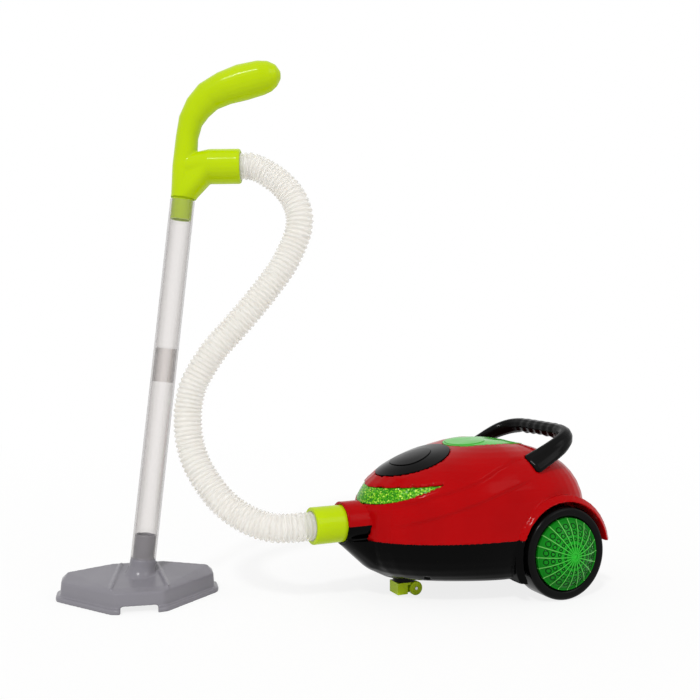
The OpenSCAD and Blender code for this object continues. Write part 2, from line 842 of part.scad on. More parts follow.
// Crowned plate with an egg-shaped outline and an egg-shaped opening
function plate_ring(x, length, outline, shift, lift) = [
    for (p = outline) [p[0] + shift, p[1], hood_local(x, length / 2, [p[0] + shift, p[1]]) + lift]
];
function between(a, b, k) = [for (i = [0 : len(a) - 1]) a[i] + (b[i] - a[i]) * k];
module opened_plate(x, length, outer, inner, shift, wall, proud) {
    moved = [for (p = inner) [p[0] + shift, p[1]]];
    skin_round([
        plate_ring(x, length, outer, 0, -wall),
        plate_ring(x, length, outer, 0, proud),
        plate_ring(x, length, between(outer, moved, 1 / 2), 0, proud),
        plate_ring(x, length, moved, 0, proud),
        plate_ring(x, length, moved, 0, -wall),
        plate_ring(x, length, between(outer, moved, 1 / 2), 0, -wall)
    ]);
}
module crowned_button(x, length, outline, shift, foot, proud) {
    skin([
        [for (p = outline) [p[0] + shift, p[1], foot]],
        plate_ring(x, length, outline, shift, proud),
        plate_ring(x, length, outline * 2 / 3, shift, proud),
        plate_ring(x, length, outline / 3, shift, proud)
    ]);
}
// Depth under the tangent plane where the plate's underside is lowest round its button
function plate_foot(x, length, outline, shift, wall) =
    min([for (p = outline) hood_local(x, length / 2, [p[0] + shift, p[1]])]) - wall;

window_back = panel_back + panel_length / 2 + window_strip + window_length / 2;
panel_egg = egg(panel_length, panel_width, panel_taper_share, 0, outline_steps);
power_egg = egg(power_length, power_width, power_taper_share, 0, outline_steps);
power_hole = egg(power_length, power_width, power_taper_share, button_gap, outline_steps);
power_lip = egg(power_length, power_width, power_taper_share, flange_lip, outline_steps);
power_foot = plate_foot(panel_back, panel_length, power_lip, 0, panel_wall) - part_gap;
window_egg = egg(window_length, window_width, window_taper_share, 0, outline_steps);
light_shift = light_offset_share * window_length;
light_egg = egg(light_length, light_width, light_taper_share, 0, outline_steps);
light_hole = egg(light_length, light_width, light_taper_share, button_gap, outline_steps);
light_lip = egg(light_length, light_width, light_taper_share, flange_lip, outline_steps);
light_foot = plate_foot(window_back, window_length, light_lip, light_shift, window_wall) - part_gap;
// Boards lie below the buttons' stems by the travel, the switch and a gap
switch_drop = flange_thick + button_stem_length + button_travel + part_gap + plunger_height + switch_height;
panel_board_z = power_foot - switch_drop;
window_board_z = light_foot - switch_drop;
panel_posts = [for (s = panel_post_shares) [s[0] * panel_length, s[1] * panel_width]];
window_posts = [for (s = window_post_shares) [s[0] * window_length, s[1] * window_width]];

module posts_down(x, length, posts, r, wall, board_z) {
    for (p = posts)
        translate([p[0], p[1], board_z]) difference() {
            cylinder(r = r, h = hood_local(x, length / 2, p) - wall / 2 - board_z);
            translate([0, 0, -overrun]) cylinder(r = board_screw_r + snug, h = board_screw_length + overrun);
        }
}
// Black oval panel on the hood, with posts for its board
module button_panel() {
    color([0.08, 0.08, 0.08]) on_canister() on_hood(panel_back, panel_length / 2) {
        opened_plate(panel_back, panel_length, panel_egg, power_hole, 0, panel_wall, panel_proud);
        posts_down(panel_back, panel_length, panel_posts, panel_post_r, panel_wall, panel_board_z);
    }
}
module push_button(x, length, outline, lip, shift, foot, proud) {
    on_hood(x, length / 2) {
        crowned_button(x, length, outline, shift, foot - flange_thick / 2, proud);
        translate([shift, 0, foot - flange_thick]) linear_extrude(flange_thick) polygon(lip);
        translate([shift, 0, foot - flange_thick - button_stem_length])
            cylinder(r = button_stem_r, h = button_stem_length + flange_thick / 2);
    }
}
// Tongue-shaped power button in the panel
module power_button() {
    color([0.1, 0.1, 0.1]) on_canister()
        push_button(panel_back, panel_length, power_egg, power_lip, 0, power_foot, power_proud);
}
module drilled_board(length, width, posts, board_z) {
    translate([0, 0, board_z - board_thick]) difference() {
        translate([-length / 2, -width / 2, 0]) cube([length, width, board_thick]);
        for (p = posts)
            translate([p[0], p[1], -overrun])
                cylinder(r = board_screw_r + snug, h = board_thick + 2 * overrun);
    }
}
module tact_switch(shift, board_z) {
    translate([shift, 0, board_z]) {
        translate([-switch_size / 2, -switch_size / 2, 0]) cube([switch_size, switch_size, switch_height]);
        cylinder(r = plunger_r, h = switch_height + plunger_height);
    }
}
module switch_board() {
    color("seagreen") on_canister() on_hood(panel_back, panel_length / 2)
        drilled_board(
            panel_board_length_share * panel_length, panel_board_width_share * panel_width,
            panel_posts, panel_board_z
        );
}
module power_switch() {
    color("dimgray") on_canister() on_hood(panel_back, panel_length / 2) tact_switch(0, panel_board_z);
}
// Green teardrop window on the crown
module top_window() {
    color([0.1, 0.7, 0.15, 0.8]) on_canister() on_hood(window_back, window_length / 2) {
        opened_plate(
            window_back, window_length, window_egg, light_hole, light_shift, window_wall, window_proud
        );
        posts_down(window_back, window_length, window_posts, window_post_r, window_wall, window_board_z);
    }
}
// Green light button in the window
module light_button() {
    color([0.2, 0.8, 0.2, 0.8]) on_canister()
        push_button(window_back, window_length, light_egg, light_lip, light_shift, light_foot, light_proud);
}
module light_board() {
    color("seagreen") on_canister() on_hood(window_back, window_length / 2)
        drilled_board(
            window_board_length_share * window_length, window_board_width_share * window_width,
            window_posts, window_board_z
        );
}
module light_switch() {
    color("dimgray") on_canister() on_hood(window_back, window_length / 2)
        tact_switch(light_shift, window_board_z);
}
// Screw with its head down, its shank rising from the seat at Z = 0
module screw(r, length, head_r, head) {
    cylinder(r = r, h = length);
    translate([0, 0, -head]) cylinder(r = head_r, h = head);
}
// Screws that hold both boards to their posts
module board_screws() {
    color("silver") on_canister() {
        on_hood(panel_back, panel_length / 2)
            for (p = panel_posts)
                translate([p[0], p[1], panel_board_z - board_thick])
                    screw(board_screw_r, board_screw_length, board_screw_head_r, board_screw_head);
        on_hood(window_back, window_length / 2)
            for (p = window_posts)
                translate([p[0], p[1], window_board_z - board_thick])
                    screw(board_screw_r, board_screw_length, board_screw_head_r, board_screw_head);
    }
}

// Carry handle: a squared loop on a slope, flat where it seats and round at the bar
function loop_point(t) = [
    arm_length * pow(sin(t), 2 / handle_run_power),
    -seat_out * sign(cos(t)) * pow(abs(cos(t)), 2 / handle_side_power)
];
function loop_place(p, lift) = [
    seat_back + p[0] * cos(arm_slope) - lift * sin(arm_slope),
    p[1],
    seat_z + p[0] * sin(arm_slope) + lift * cos(arm_slope)
];
function finger_wave(q) =
    let (half = seat_out * finger_span_share)
    abs(q) > half ? 0 : (1 - cos(360 * finger_count * (q + half) / (2 * half))) / 2;
module carry_handle_form(grow) {
    times = [for (i = [0 : handle_steps]) 90 - 90 * cos(180 * i / handle_steps)];
    mids = concat(
        [[-paddle_ahead - grow, -seat_out], [-paddle_ahead * (1 - paddle_tip_share), -seat_out]],
        [for (t = times) loop_point(t)],
        [[-paddle_ahead * (1 - paddle_tip_share), seat_out], [-paddle_ahead - grow, seat_out]]
    );
    last = len(mids) - 1;
    skin([
        for (i = [0 : last])
            let (
                along = mids[min(last, i + 1)] - mids[max(0, i - 1)],
                way = along / norm(along),
                k = pow(max(0, mids[i][0]) / arm_length, 2),
                tip = i == 0 || i == last ? paddle_end_share : 1,
                half_t = tip * (paddle_thick + (bar_thick - paddle_thick) * k) / 2 + grow,
                half_h = tip * (paddle_height + (bar_thick - paddle_height) * sqrt(k)) / 2 + grow,
                bite = finger_depth * k * finger_wave(mids[i][1]),
                roll = paddle_roll * (1 - k)
            )
            [
                for (j = [0 : handle_sides - 1])
                    let (
                        b = -360 * (j + 1 / 2) / handle_sides,
                        out = cos(b) * half_t,
                        up = sin(b) * (half_h - (sin(b) < 0 ? bite : 0))
                    )
                    loop_place(
                        mids[i] + (out * cos(roll) - up * sin(roll)) * [way[1], -way[0]],
                        out * sin(roll) + up * cos(roll)
                    )
            ]
    ]);
}
module carry_handle() {
    color([0.07, 0.07, 0.07]) on_canister() difference() {
        carry_handle_form(0);
        handle_screw_places() cylinder(r = handle_screw_r + snug, h = handle_screw_reach);
    }
}
// Handle screws point outwards from seats on the pads inside the shell
handle_screw_seat = seat_out - handle_pad_depth - shell_wall - snug;
handle_screw_reach = handle_pad_depth + shell_wall + snug - paddle_thick / 2 + handle_screw_bite;
module handle_screw_places() {
    for (side = [-1, 1])
        translate([seat_back, side * handle_screw_seat, seat_z]) rotate([-90 * side, 0, 0]) children();
}
module handle_screws() {
    color("silver") on_canister() handle_screw_places()
        screw(handle_screw_r, handle_screw_reach - overrun, handle_screw_head_r, handle_screw_head);
}

// Screws that join the shells, from below
module shell_screws() {
    color("silver") on_canister() shell_posts() translate([0, 0, screw_seat_z])
        screw(shell_screw_r, shell_screw_length, shell_screw_head_r, shell_screw_head);
}

// Speaker: rim on the belly, cone basket and magnet
module speaker() {
    color("dimgray") on_canister() translate([speaker_x, 0, floor_z]) {
        cylinder(r = speaker_r, h = speaker_rim);
        translate([0, 0, speaker_rim])
            cylinder(r1 = speaker_r - speaker_rim, r2 = speaker_magnet_r, h = speaker_rim);
        cylinder(r = speaker_magnet_r, h = speaker_height);
    }
}

// Battery door, flush with the belly, with an ear for its screw
module battery_door_form(grow) {
    past = grow > 0 ? overrun : 0;
    lip = door_lip + grow;
    translate([bay_x - bay_length / 2 - lip, -bay_width / 2 - lip, belly_z - past])
        cube([bay_length + 2 * lip, bay_width + 2 * lip, door_thick + past]);
    translate([door_ear_x, 0, belly_z - past]) cylinder(r = door_ear_r + grow, h = door_thick + past);
}
door_ear_x = bay_x + bay_length / 2 + bay_wall + door_ear_r / 2;
module door_screw_place() {
    translate([door_ear_x, 0, belly_z]) children();
}
module battery_door() {
    color([0.06, 0.06, 0.06]) on_canister() difference() {
        battery_door_form(0);
        door_screw_place() {
            translate([0, 0, -overrun]) cylinder(r = door_screw_r + snug, h = door_thick + 2 * overrun);
            translate([0, 0, -overrun]) cylinder(r = door_screw_head_r + snug, h = door_screw_head + overrun);
        }
    }
}
module battery_door_screw() {
    color("silver") on_canister() door_screw_place() translate([0, 0, door_screw_head])
        screw(door_screw_r, door_screw_length - door_screw_head, door_screw_head_r, door_screw_head);
}
// Cells lying side by side on the door
module battery_cells() {
    color("goldenrod") on_canister() for (i = [0 : cell_count - 1])
        translate([bay_x - cell_length / 2, (i - (cell_count - 1) / 2) * cell_pitch, cell_z])
            rotate([0, 90, 0]) cylinder(r = cell_r, h = cell_length);
}
// Contact plates at the two ends of the bay
module battery_contacts() {
    color("silver") on_canister() for (side = [-1, 1])
        translate([
            bay_x + side * (bay_length - contact_thick) / 2 - contact_thick / 2, -bay_width / 2,
            bay_roof_z - contact_height
        ])
            cube([contact_thick, bay_width, contact_height]);
}

// Fixed steel axle, and the nuts pushed on its ends
axle_half = wheel_out - wheel_w + web_z + web_thick + push_nut_gap + push_nut_thick + axle_tail;
module rear_axle() {
    color("silver") on_canister() translate([wheel_back, 0, axle_z]) rotate([90, 0, 0])
        cylinder(r = axle_r, h = 2 * axle_half, center = true);
}
module axle_push_nuts() {
    color("silver") on_canister() for (side = [-1, 1])
        on_wheel(side) translate([0, 0, web_z + web_thick + push_nut_gap]) difference() {
            cylinder(r = push_nut_r, h = push_nut_thick);
            translate([0, 0, -overrun]) cylinder(r = axle_r + snug / 2, h = push_nut_thick + 2 * overrun);
        }
}
module round_box(from, size, r) {
    translate(from) {
        translate([r, 0]) square([size[0] - 2 * r, size[1]]);
        translate([0, r]) square([size[0], size[1] - 2 * r]);
        for (x = [r, size[0] - r], y = [r, size[1] - r]) translate([x, y]) circle(r);
    }
}
// Hollow wheel: tyre, web and boss turned as one piece
module rear_wheel(side) {
    color([0.07, 0.07, 0.07]) on_canister() on_wheel(side) rotate_extrude() {
        round_box([wheel_r - tyre_depth, 0], [tyre_depth, wheel_w], tyre_round);
        translate([axle_r + run_fit, web_z]) square([wheel_r - tyre_depth / 2 - axle_r - run_fit, web_thick]);
        translate([axle_r + run_fit, part_gap - well_side_gap])
            square([boss_r - axle_r - run_fit, web_z + web_thick - part_gap + well_side_gap]);
    }
}
// Domed cap with radial ribs, pressed into the wheel's outer recess
dome_r = (cap_r * cap_r + cap_rise * cap_rise) / (2 * cap_rise);
cap_base_z = web_z + web_thick + cap_seat;
dome_z = cap_base_z + cap_rise - dome_r;
module dome(grow) {
    intersection() {
        translate([0, dome_z]) circle(dome_r + grow);
        translate([0, cap_base_z]) square([cap_r, cap_rise + 2 * cap_wall]);
    }
}
module hub_cap(side) {
    color([0.1, 0.7, 0.2, 0.8]) on_canister() on_wheel(side) {
        rotate_extrude() {
            difference() {
                dome(0);
                translate([0, dome_z]) circle(dome_r - cap_wall);
            }
            translate([cap_r - cap_wall, web_z + web_thick]) square([cap_wall, cap_seat + cap_wall]);
        }
        intersection() {
            rotate_extrude() difference() {
                dome(cap_rib_height);
                translate([0, dome_z]) circle(dome_r - cap_wall / 2);
                square([cap_rib_start, dome_r]);
            }
            union() for (i = [0 : cap_ribs / 2 - 1])
                rotate([0, 0, 360 * i / cap_ribs])
                    translate([-cap_r, -cap_rib_w / 2, 0])
                        cube([2 * cap_r, cap_rib_w, cap_base_z + cap_rise + cap_wall]);
        }
    }
}
module rear_wheel_left() rear_wheel(-1);
module hub_cap_left() hub_cap(-1);
module rear_wheel_right() rear_wheel(1);
module hub_cap_right() hub_cap(1);

// Bush in the belly that the caster's stem turns in
bush_z = block_top_z + bush_gap;
bush_top_z = belly_z + bush_barrel;
module caster_bush() {
    color([0.06, 0.06, 0.06]) on_canister() translate([-caster_trail, 0, 0]) difference() {
        union() {
            translate([0, 0, bush_z]) cylinder(r = bush_r, h = belly_z - bush_z);
            translate([0, 0, bush_z]) cylinder(r = bush_barrel_r, h = bush_top_z - bush_z);
        }
        translate([0, 0, bush_z - overrun])
            cylinder(r = stem_r + run_fit, h = bush_top_z - bush_z + 2 * overrun);
    }
}
// Swivel block with its tongue between the rollers, and its stem
stem_top_z = bush_top_z + bush_gap;
module caster_block() {
    color("yellowgreen") on_canister() difference() {
        union() {
            translate([-caster_trail - block_front, -block_w / 2, block_z])
                cube([block_front, block_w, block_top_z - block_z]);
            translate([-caster_trail - block_front, -tongue_w / 2, block_z])
                cube([block_front + caster_trail, tongue_w, block_top_z - block_z]);
            translate([0, 0, roller_r]) rotate([90, 0, 0])
                cylinder(r = roller_r - block_z, h = tongue_w, center = true);
            translate([-caster_trail, 0, block_top_z - block_z]) cylinder(r = block_w / 2, h = block_z);
            translate([-caster_trail, 0, block_z]) cylinder(r = stem_r, h = stem_top_z - block_z);
        }
        translate([0, 0, roller_r]) rotate([90, 0, 0])
            cylinder(r = caster_axle_r + snug, h = block_w, center = true);
        translate([-caster_trail, 0, stem_top_z - caster_screw_length])
            cylinder(r = caster_screw_r + snug, h = caster_screw_length + overrun);
        for (side = [-1, 1])
            translate([0, side * (tongue_w / 2 + roller_w), roller_r]) rotate([90, 0, 0])
                cylinder(r = roller_r + roller_gap, h = 2 * roller_w, center = true);
    }
}
module caster_wheels() {
    color("yellowgreen") on_canister() for (side = [-1, 1])
        translate([0, side * (tongue_w / 2 + roller_gap + roller_w / 2), roller_r]) rotate([90, 0, 0])
            rotate_extrude()
                round_box([roller_bore_r, -roller_w / 2], [roller_r - roller_bore_r, roller_w], roller_gap);
}
module caster_axle() {
    color("silver") on_canister() translate([0, 0, roller_r]) rotate([90, 0, 0])
        cylinder(r = caster_axle_r, h = tongue_w + 2 * (roller_gap + roller_w + roller_gap), center = true);
}
module caster_screw() {
    color("silver") on_canister() translate([-caster_trail, 0, stem_top_z]) rotate([180, 0, 0])
        screw(caster_screw_r, caster_screw_length - overrun, caster_screw_head_r, caster_screw_head);
}

// Cuff: a turned sleeve with a socket for the hose and a rounded lip
module hose_cuff() {
    cuff_length = cuff_shown + cuff_hidden;
    socket_r = hose_r + part_gap;
    color("yellowgreen") on_canister()
        translate([cuff_end_x, 0, snout_z]) rotate([0, 90, 0]) rotate_extrude() difference() {
            round_box([0, 0], [cuff_r, cuff_length], cuff_lip);
            square([cuff_bore_r, cuff_length]);
            translate([0, -overrun]) square([socket_r, hose_seat + part_gap + overrun]);
            square([cuff_lip, cuff_length]);
        }
}

// Route of the hose: straight stubs at both ends, smooth through the points between
cuff_mouth = [cuff_end_x + hose_seat, 0, snout_z];
outlet_way = wand_way([cos(outlet_tilt), 0, sin(outlet_tilt)]);
outlet_root = wand_at - [canister_x, canister_y, 0] + wand_way([0, 0, collar_s + outlet_rise]);
outlet_mouth = outlet_root + outlet_way * outlet_reach;
hose_last = outlet_mouth - outlet_way * hose_seat;
stub_ends = [cuff_mouth - [hose_stub, 0, 0], hose_last + outlet_way * hose_stub];
knots = concat([stub_ends[0]], hose_route, [stub_ends[1]]);
function knot_way(i) =
    i == 0 ? [-1, 0, 0] * norm(knots[1] - knots[0])
    : i == len(knots) - 1 ? -outlet_way * norm(knots[i] - knots[i - 1])
    : (knots[i + 1] - knots[i - 1]) / 2;
function hermite(i, t) =
    knots[i] * (2 * t * t * t - 3 * t * t + 1) + knot_way(i) * (t * t * t - 2 * t * t + t)
    + knots[i + 1] * (3 * t * t - 2 * t * t * t) + knot_way(i + 1) * (t * t * t - t * t);
hose_line = concat(
    [cuff_mouth],
    [for (i = [0 : len(knots) - 2], s = [0 : route_steps - 1]) hermite(i, s / route_steps)],
    [stub_ends[1], hose_last]
);
hose_steps = [for (i = [1 : len(hose_line) - 1]) norm(hose_line[i] - hose_line[i - 1])];
hose_marks = [
    for (i = 0, s = 0; i < len(hose_line); s = s + (i < len(hose_steps) ? hose_steps[i] : 0), i = i + 1) s
];
hose_length = hose_marks[len(hose_marks) - 1];
hose_axes = [for (k = [0 : 2]) [for (i = [0 : len(hose_line) - 1]) [hose_marks[i], hose_line[i][k]]]];
function hose_at(s) = [for (axis = hose_axes) lookup(s, axis)];
function unit(v) = v / norm(v);
function hose_way(s) =
    unit(hose_at(min(hose_length, s + rib_pitch / 2)) - hose_at(max(0, s - rib_pitch / 2)));
rib_count = round(hose_length / rib_pitch);
ring_count = 2 * rib_count + 1;
function ring_mark(i) = hose_length * i / (ring_count - 1);
// Frames carried along the hose without twisting
hose_sides_way = [
    for (i = 0, v = [0, 0, 1]; i < ring_count;
        i = i + 1, v = i < ring_count ? unit(v - hose_way(ring_mark(i)) * (v * hose_way(ring_mark(i)))) : v) v
];
function hose_ring(i, r) =
    let (c = hose_at(ring_mark(i)), u = hose_sides_way[i], w = cross(hose_way(ring_mark(i)), u))
    [for (j = [0 : hose_sides - 1]) c + r * (cos(360 * j / hose_sides) * u + sin(360 * j / hose_sides) * w)];
// Ribbed hose, one unbroken tube with its bore
module hose() {
    color([0.93, 0.93, 0.9]) on_canister() skin_round(concat(
        [for (i = [0 : ring_count - 1]) hose_ring(i, i % 2 == 0 ? hose_valley_r : hose_r)],
        [for (i = [ring_count - 1 : -4 : 0]) hose_ring(i, hose_bore_r)]
    ));
}

// Crook handle: slices along its shares, with the hose outlet and the duct to the tube
function grip_place(s) = [s[0] * grip_reach, 0, collar_s + s[1] * grip_rise];
module grip_slice(s) {
    translate(grip_place(s)) rotate([0, 90 - s[2], 0])
        scale([s[3] * grip_depth, s[4] * grip_width, 1])
            cylinder(r = 1 / 2, h = slice, $fn = grip_fn);
}
module crook() {
    for (i = [0 : len(grip_shares) - 2])
        hull() {
            grip_slice(grip_shares[i]);
            grip_slice(grip_shares[i + 1]);
        }
    hull() {
        translate([0, 0, collar_s + outlet_rise]) sphere(r = grip_width * grip_shares[0][4] / 2);
        on_outlet() translate([0, 0, outlet_reach * outlet_root_share]) cylinder(r = outlet_r, h = slice);
    }
    hull() {
        translate([0, 0, collar_s]) cylinder(r = grip_shares[0][4] * grip_width / 2 - half_gap, h = slice);
        on_outlet() translate([0, 0, outlet_reach * outlet_root_share]) cylinder(r = outlet_r, h = slice);
        on_outlet() cylinder(r = grip_shares[0][4] * grip_width / 2 - outlet_rim, h = slice);
    }
    on_outlet() hull() {
        translate([0, 0, outlet_reach * outlet_root_share])
            cylinder(r = outlet_r, h = outlet_reach * (1 - outlet_root_share) - outlet_rim);
        translate([0, 0, outlet_reach - outlet_rim]) cylinder(r = outlet_r - outlet_rim / 2, h = outlet_rim);
    }
}
module grip_screw_places() {
    for (s = grip_screw_shares) translate(grip_place(s)) rotate([-90, 0, 0]) children();
}
module handle_half(side) {
    $fn = grip_fn;
    color("yellowgreen") on_wand() difference() {
        intersection() {
            crook();
            translate([-clip_span / 2, side > 0 ? half_gap / 2 : -clip_span - half_gap / 2, 0])
                cube([clip_span, clip_span, 2 * clip_span]);
        }
        on_outlet() {
            translate([0, 0, outlet_reach - hose_seat - part_gap])
                cylinder(r = hose_r + socket_gap, h = hose_seat + part_gap + overrun);
            cylinder(r = duct_r, h = outlet_reach);
        }
        translate([0, 0, collar_s]) cylinder(r = duct_r, h = outlet_rise);
        translate([0, 0, collar_s - overrun])
            cylinder(r = spigot_r + socket_gap, h = spigot_root + part_gap + overrun);
        grip_screw_places() {
            translate([0, 0, -grip_width / 4]) cylinder(r = grip_screw_r + snug, h = grip_width);
            translate([0, 0, grip_width / 4]) cylinder(r = grip_screw_head_r + snug, h = grip_width);
        }
    }
}
module handle_left_half() handle_half(-1);
module handle_right_half() handle_half(1);
// Screws from the right half into the left
module handle_half_screws() {
    color("silver") on_wand() grip_screw_places() translate([0, 0, grip_width / 4]) rotate([180, 0, 0])
        screw(grip_screw_r, grip_width / 2 - overrun, grip_screw_head_r, grip_screw_head);
}
// Spigot held by the halves and pushed into the upper tube
module tube_spigot() {
    color("yellowgreen") on_wand() translate([0, 0, collar_s - collar_gap - spigot_length]) difference() {
        cylinder(r = spigot_r, h = spigot_length + collar_gap + spigot_root);
        translate([0, 0, -overrun])
            cylinder(r = spigot_bore_r, h = spigot_length + collar_gap + spigot_root + 2 * overrun);
    }
}
// Upper tube, necked to push into the lower one
module upper_tube() {
    neck_r = tube_bore_r - snug;
    color([0.9, 0.92, 0.95, 0.4]) on_wand() translate([0, 0, lower_tube_top - neck_length]) rotate_extrude() {
        translate([neck_r - tube_wall, 0]) square([tube_wall, neck_length + tube_wall]);
        translate([neck_r - tube_wall, neck_length]) square([tube_r - neck_r + tube_wall, tube_wall]);
        translate([tube_bore_r, neck_length]) square([tube_wall, upper_tube_shown]);
    }
}
module lower_tube() {
    color([0.9, 0.92, 0.95, 0.4]) on_wand() translate([0, 0, lower_tube_foot]) difference() {
        cylinder(r = tube_r, h = lower_tube_length);
        translate([0, 0, -overrun]) cylinder(r = tube_bore_r, h = lower_tube_length + 2 * overrun);
    }
}

// Floor head: rim, sloping body, diverging ribs and the neck that carries the wand
module on_head() {
    translate(wand_at) rotate([0, 0, head_heading]) children();
}
module head_outline(inset) {
    corners = [
        [-head_length / 2, head_behind], [-head_length / 2, head_behind - head_back_run],
        [-head_front / 2, -head_ahead], [head_front / 2, -head_ahead],
        [head_length / 2, head_behind - head_back_run], [head_length / 2, head_behind]
    ];
    offset(r = head_round - inset) offset(delta = -head_round) polygon(corners);
}
module head_body(inset) {
    hull() {
        linear_extrude(head_rim) head_outline(head_inset + inset);
        translate([0, 0, head_side_low - inset])
            linear_extrude(slice)
                head_outline(head_inset + rib_proud + inset);
        translate([-head_front / 2, -head_ahead + head_top_inset, head_low - inset - slice])
            cube([head_front, slice, slice]);
        translate([-head_front / 2, head_behind - head_top_inset + inset, head_rise - inset - slice])
            cube([head_front, slice, slice]);
        translate([-head_ridge / 2, head_behind - head_top_inset + inset, head_ridge_z - inset - slice])
            cube([head_ridge, slice, slice]);
    }
}
module flare_slice(s) {
    translate([0, 0, head_low + s[0] * (lower_tube_foot - head_low)])
        cylinder(r = head_flare_r + s[1] * (head_root_r - head_flare_r), h = slice);
}
module floor_head() {
    $fn = head_fn;
    color("slategray") difference() {
        union() {
            on_head() {
                hull() {
                    linear_extrude(head_rim - head_edge) head_outline(0);
                    linear_extrude(head_rim) head_outline(head_edge);
                }
                head_body(0);
                for (side = [-1, 1]) hull() {
                    translate([side * rib_back_half, head_behind - head_top_inset - rib_w, head_low])
                        cylinder(r = rib_w / 2, h = head_rise - head_low + rib_proud);
                    translate([side * rib_front_half, head_top_inset - head_ahead, head_rim])
                        cylinder(r = rib_w / 2, h = head_low - head_rim + rib_proud);
                }
            }
            on_wand() {
                translate([0, 0, head_low]) cylinder(r = head_neck_r, h = head_neck_top - head_low);
                for (i = [0 : len(flare_shares) - 2]) hull() {
                    flare_slice(flare_shares[i]);
                    flare_slice(flare_shares[i + 1]);
                }
            }
        }
        on_head() {
            translate([0, 0, -overrun])
                linear_extrude(head_rim + overrun)
                    head_outline(head_inset + head_wall);
            head_body(head_wall);
            translate([-notch_width / 2, -head_ahead - overrun, -overrun])
                cube([notch_width, head_top_inset, notch_height + overrun]);
        }
        on_wand() translate([0, 0, head_rim]) cylinder(r = head_neck_r - head_neck_wall, h = head_neck_top);
    }
}

upper_shell();
lower_shell();
headlamp_lens();
lamp_board();
headlamp_leds();
button_panel();
power_button();
switch_board();
power_switch();
top_window();
light_button();
light_board();
light_switch();
board_screws();
carry_handle();
handle_screws();
shell_screws();
speaker();
battery_door();
battery_door_screw();
battery_cells();
battery_contacts();
rear_axle();
axle_push_nuts();
rear_wheel_left();
hub_cap_left();
rear_wheel_right();
hub_cap_right();
caster_bush();
caster_block();
caster_wheels();
caster_axle();
caster_screw();
hose_cuff();
hose();
handle_left_half();
handle_right_half();
handle_half_screws();
tube_spigot();
upper_tube();
lower_tube();
floor_head();
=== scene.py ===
"""Toy canister vacuum cleaner: its finishes, and the pieces that are finer than the solids."""

import math

import bmesh
import bpy
import numpy as np
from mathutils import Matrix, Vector, kdtree, noise


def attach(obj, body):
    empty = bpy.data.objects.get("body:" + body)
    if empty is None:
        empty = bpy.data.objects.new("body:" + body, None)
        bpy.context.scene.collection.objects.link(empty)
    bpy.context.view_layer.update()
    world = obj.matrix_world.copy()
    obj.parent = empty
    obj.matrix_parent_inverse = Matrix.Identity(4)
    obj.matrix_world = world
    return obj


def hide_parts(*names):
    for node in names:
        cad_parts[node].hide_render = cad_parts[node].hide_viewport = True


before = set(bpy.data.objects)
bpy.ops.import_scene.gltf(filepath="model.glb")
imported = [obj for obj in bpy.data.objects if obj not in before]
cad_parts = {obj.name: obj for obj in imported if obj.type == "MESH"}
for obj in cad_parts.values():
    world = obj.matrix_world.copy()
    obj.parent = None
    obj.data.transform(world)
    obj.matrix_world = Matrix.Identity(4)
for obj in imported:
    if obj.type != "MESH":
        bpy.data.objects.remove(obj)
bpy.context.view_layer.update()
scene = bpy.context.scene
scene.view_settings.view_transform = "Standard"

# Camera: level, a little above the canister and well to its front left.
# The frame is shifted down, because the toy stands low in it.
mm = 0.001
picture, lowered = 700, 34
eye = bpy.data.cameras.new("camera")
eye.lens = 50
eye.sensor_width = 36
eye.shift_y = -lowered / picture
camera = bpy.data.objects.new("camera", eye)
camera.location = Vector((-403.4, -894.3, 281)) * mm
camera.rotation_euler = (math.radians(90), 0, math.radians(-25))
scene.collection.objects.link(camera)
scene.camera = camera


# Studio: a pale floor that runs back out of sight under a white surround.
# A soft lamp over the camera's left shoulder draws the glints, and a weak one fills in from the right.
def linear(code):
    """A colour written as sRGB hex, as linear red, green, blue and alpha."""
    parts = [int(code[i : i + 2], 16) / 255 for i in (1, 3, 5)]
    return [p / 12.92 if p <= 0.04045 else ((p + 0.055) / 1.055) ** 2.4 for p in parts] + [1]


def add(tree, kind, feeds=None, **settings):
    """A node with its settings; each feed is a number, a colour or the socket that drives it."""
    made = tree.nodes.new(kind)
    for key, value in settings.items():
        setattr(made, key, value)
    for socket, value in (feeds or {}).items():
        if isinstance(value, bpy.types.NodeSocket):
            tree.links.new(value, made.inputs[socket])
        else:
            made.inputs[socket].default_value = value
    return made


def seen_rays(tree):
    """1 for the rays that look at the surround: straight, mirrored or through clear plastic."""
    rays = add(tree, "ShaderNodeLightPath").outputs
    kinds = {0: rays["Is Camera Ray"], 1: rays["Is Glossy Ray"]}
    either = add(tree, "ShaderNodeMath", kinds, operation="MAXIMUM").outputs[0]
    kinds = {0: either, 1: rays["Is Transmission Ray"]}
    return add(tree, "ShaderNodeMath", kinds, operation="MAXIMUM").outputs[0]


world = bpy.data.worlds.new("surround")
world.use_nodes = True
scene.world = world
sky = world.node_tree
sky.nodes.clear()
soft = add(sky, "ShaderNodeBackground", {"Color": linear("#FFFFFF"), "Strength": 0.62}).outputs[0]
white = add(sky, "ShaderNodeBackground", {"Color": linear("#FFFFFF"), "Strength": 1}).outputs[0]
both = add(sky, "ShaderNodeMixShader", {0: seen_rays(sky), 1: soft, 2: white}).outputs[0]
add(sky, "ShaderNodeOutputWorld", {"Surface": both})

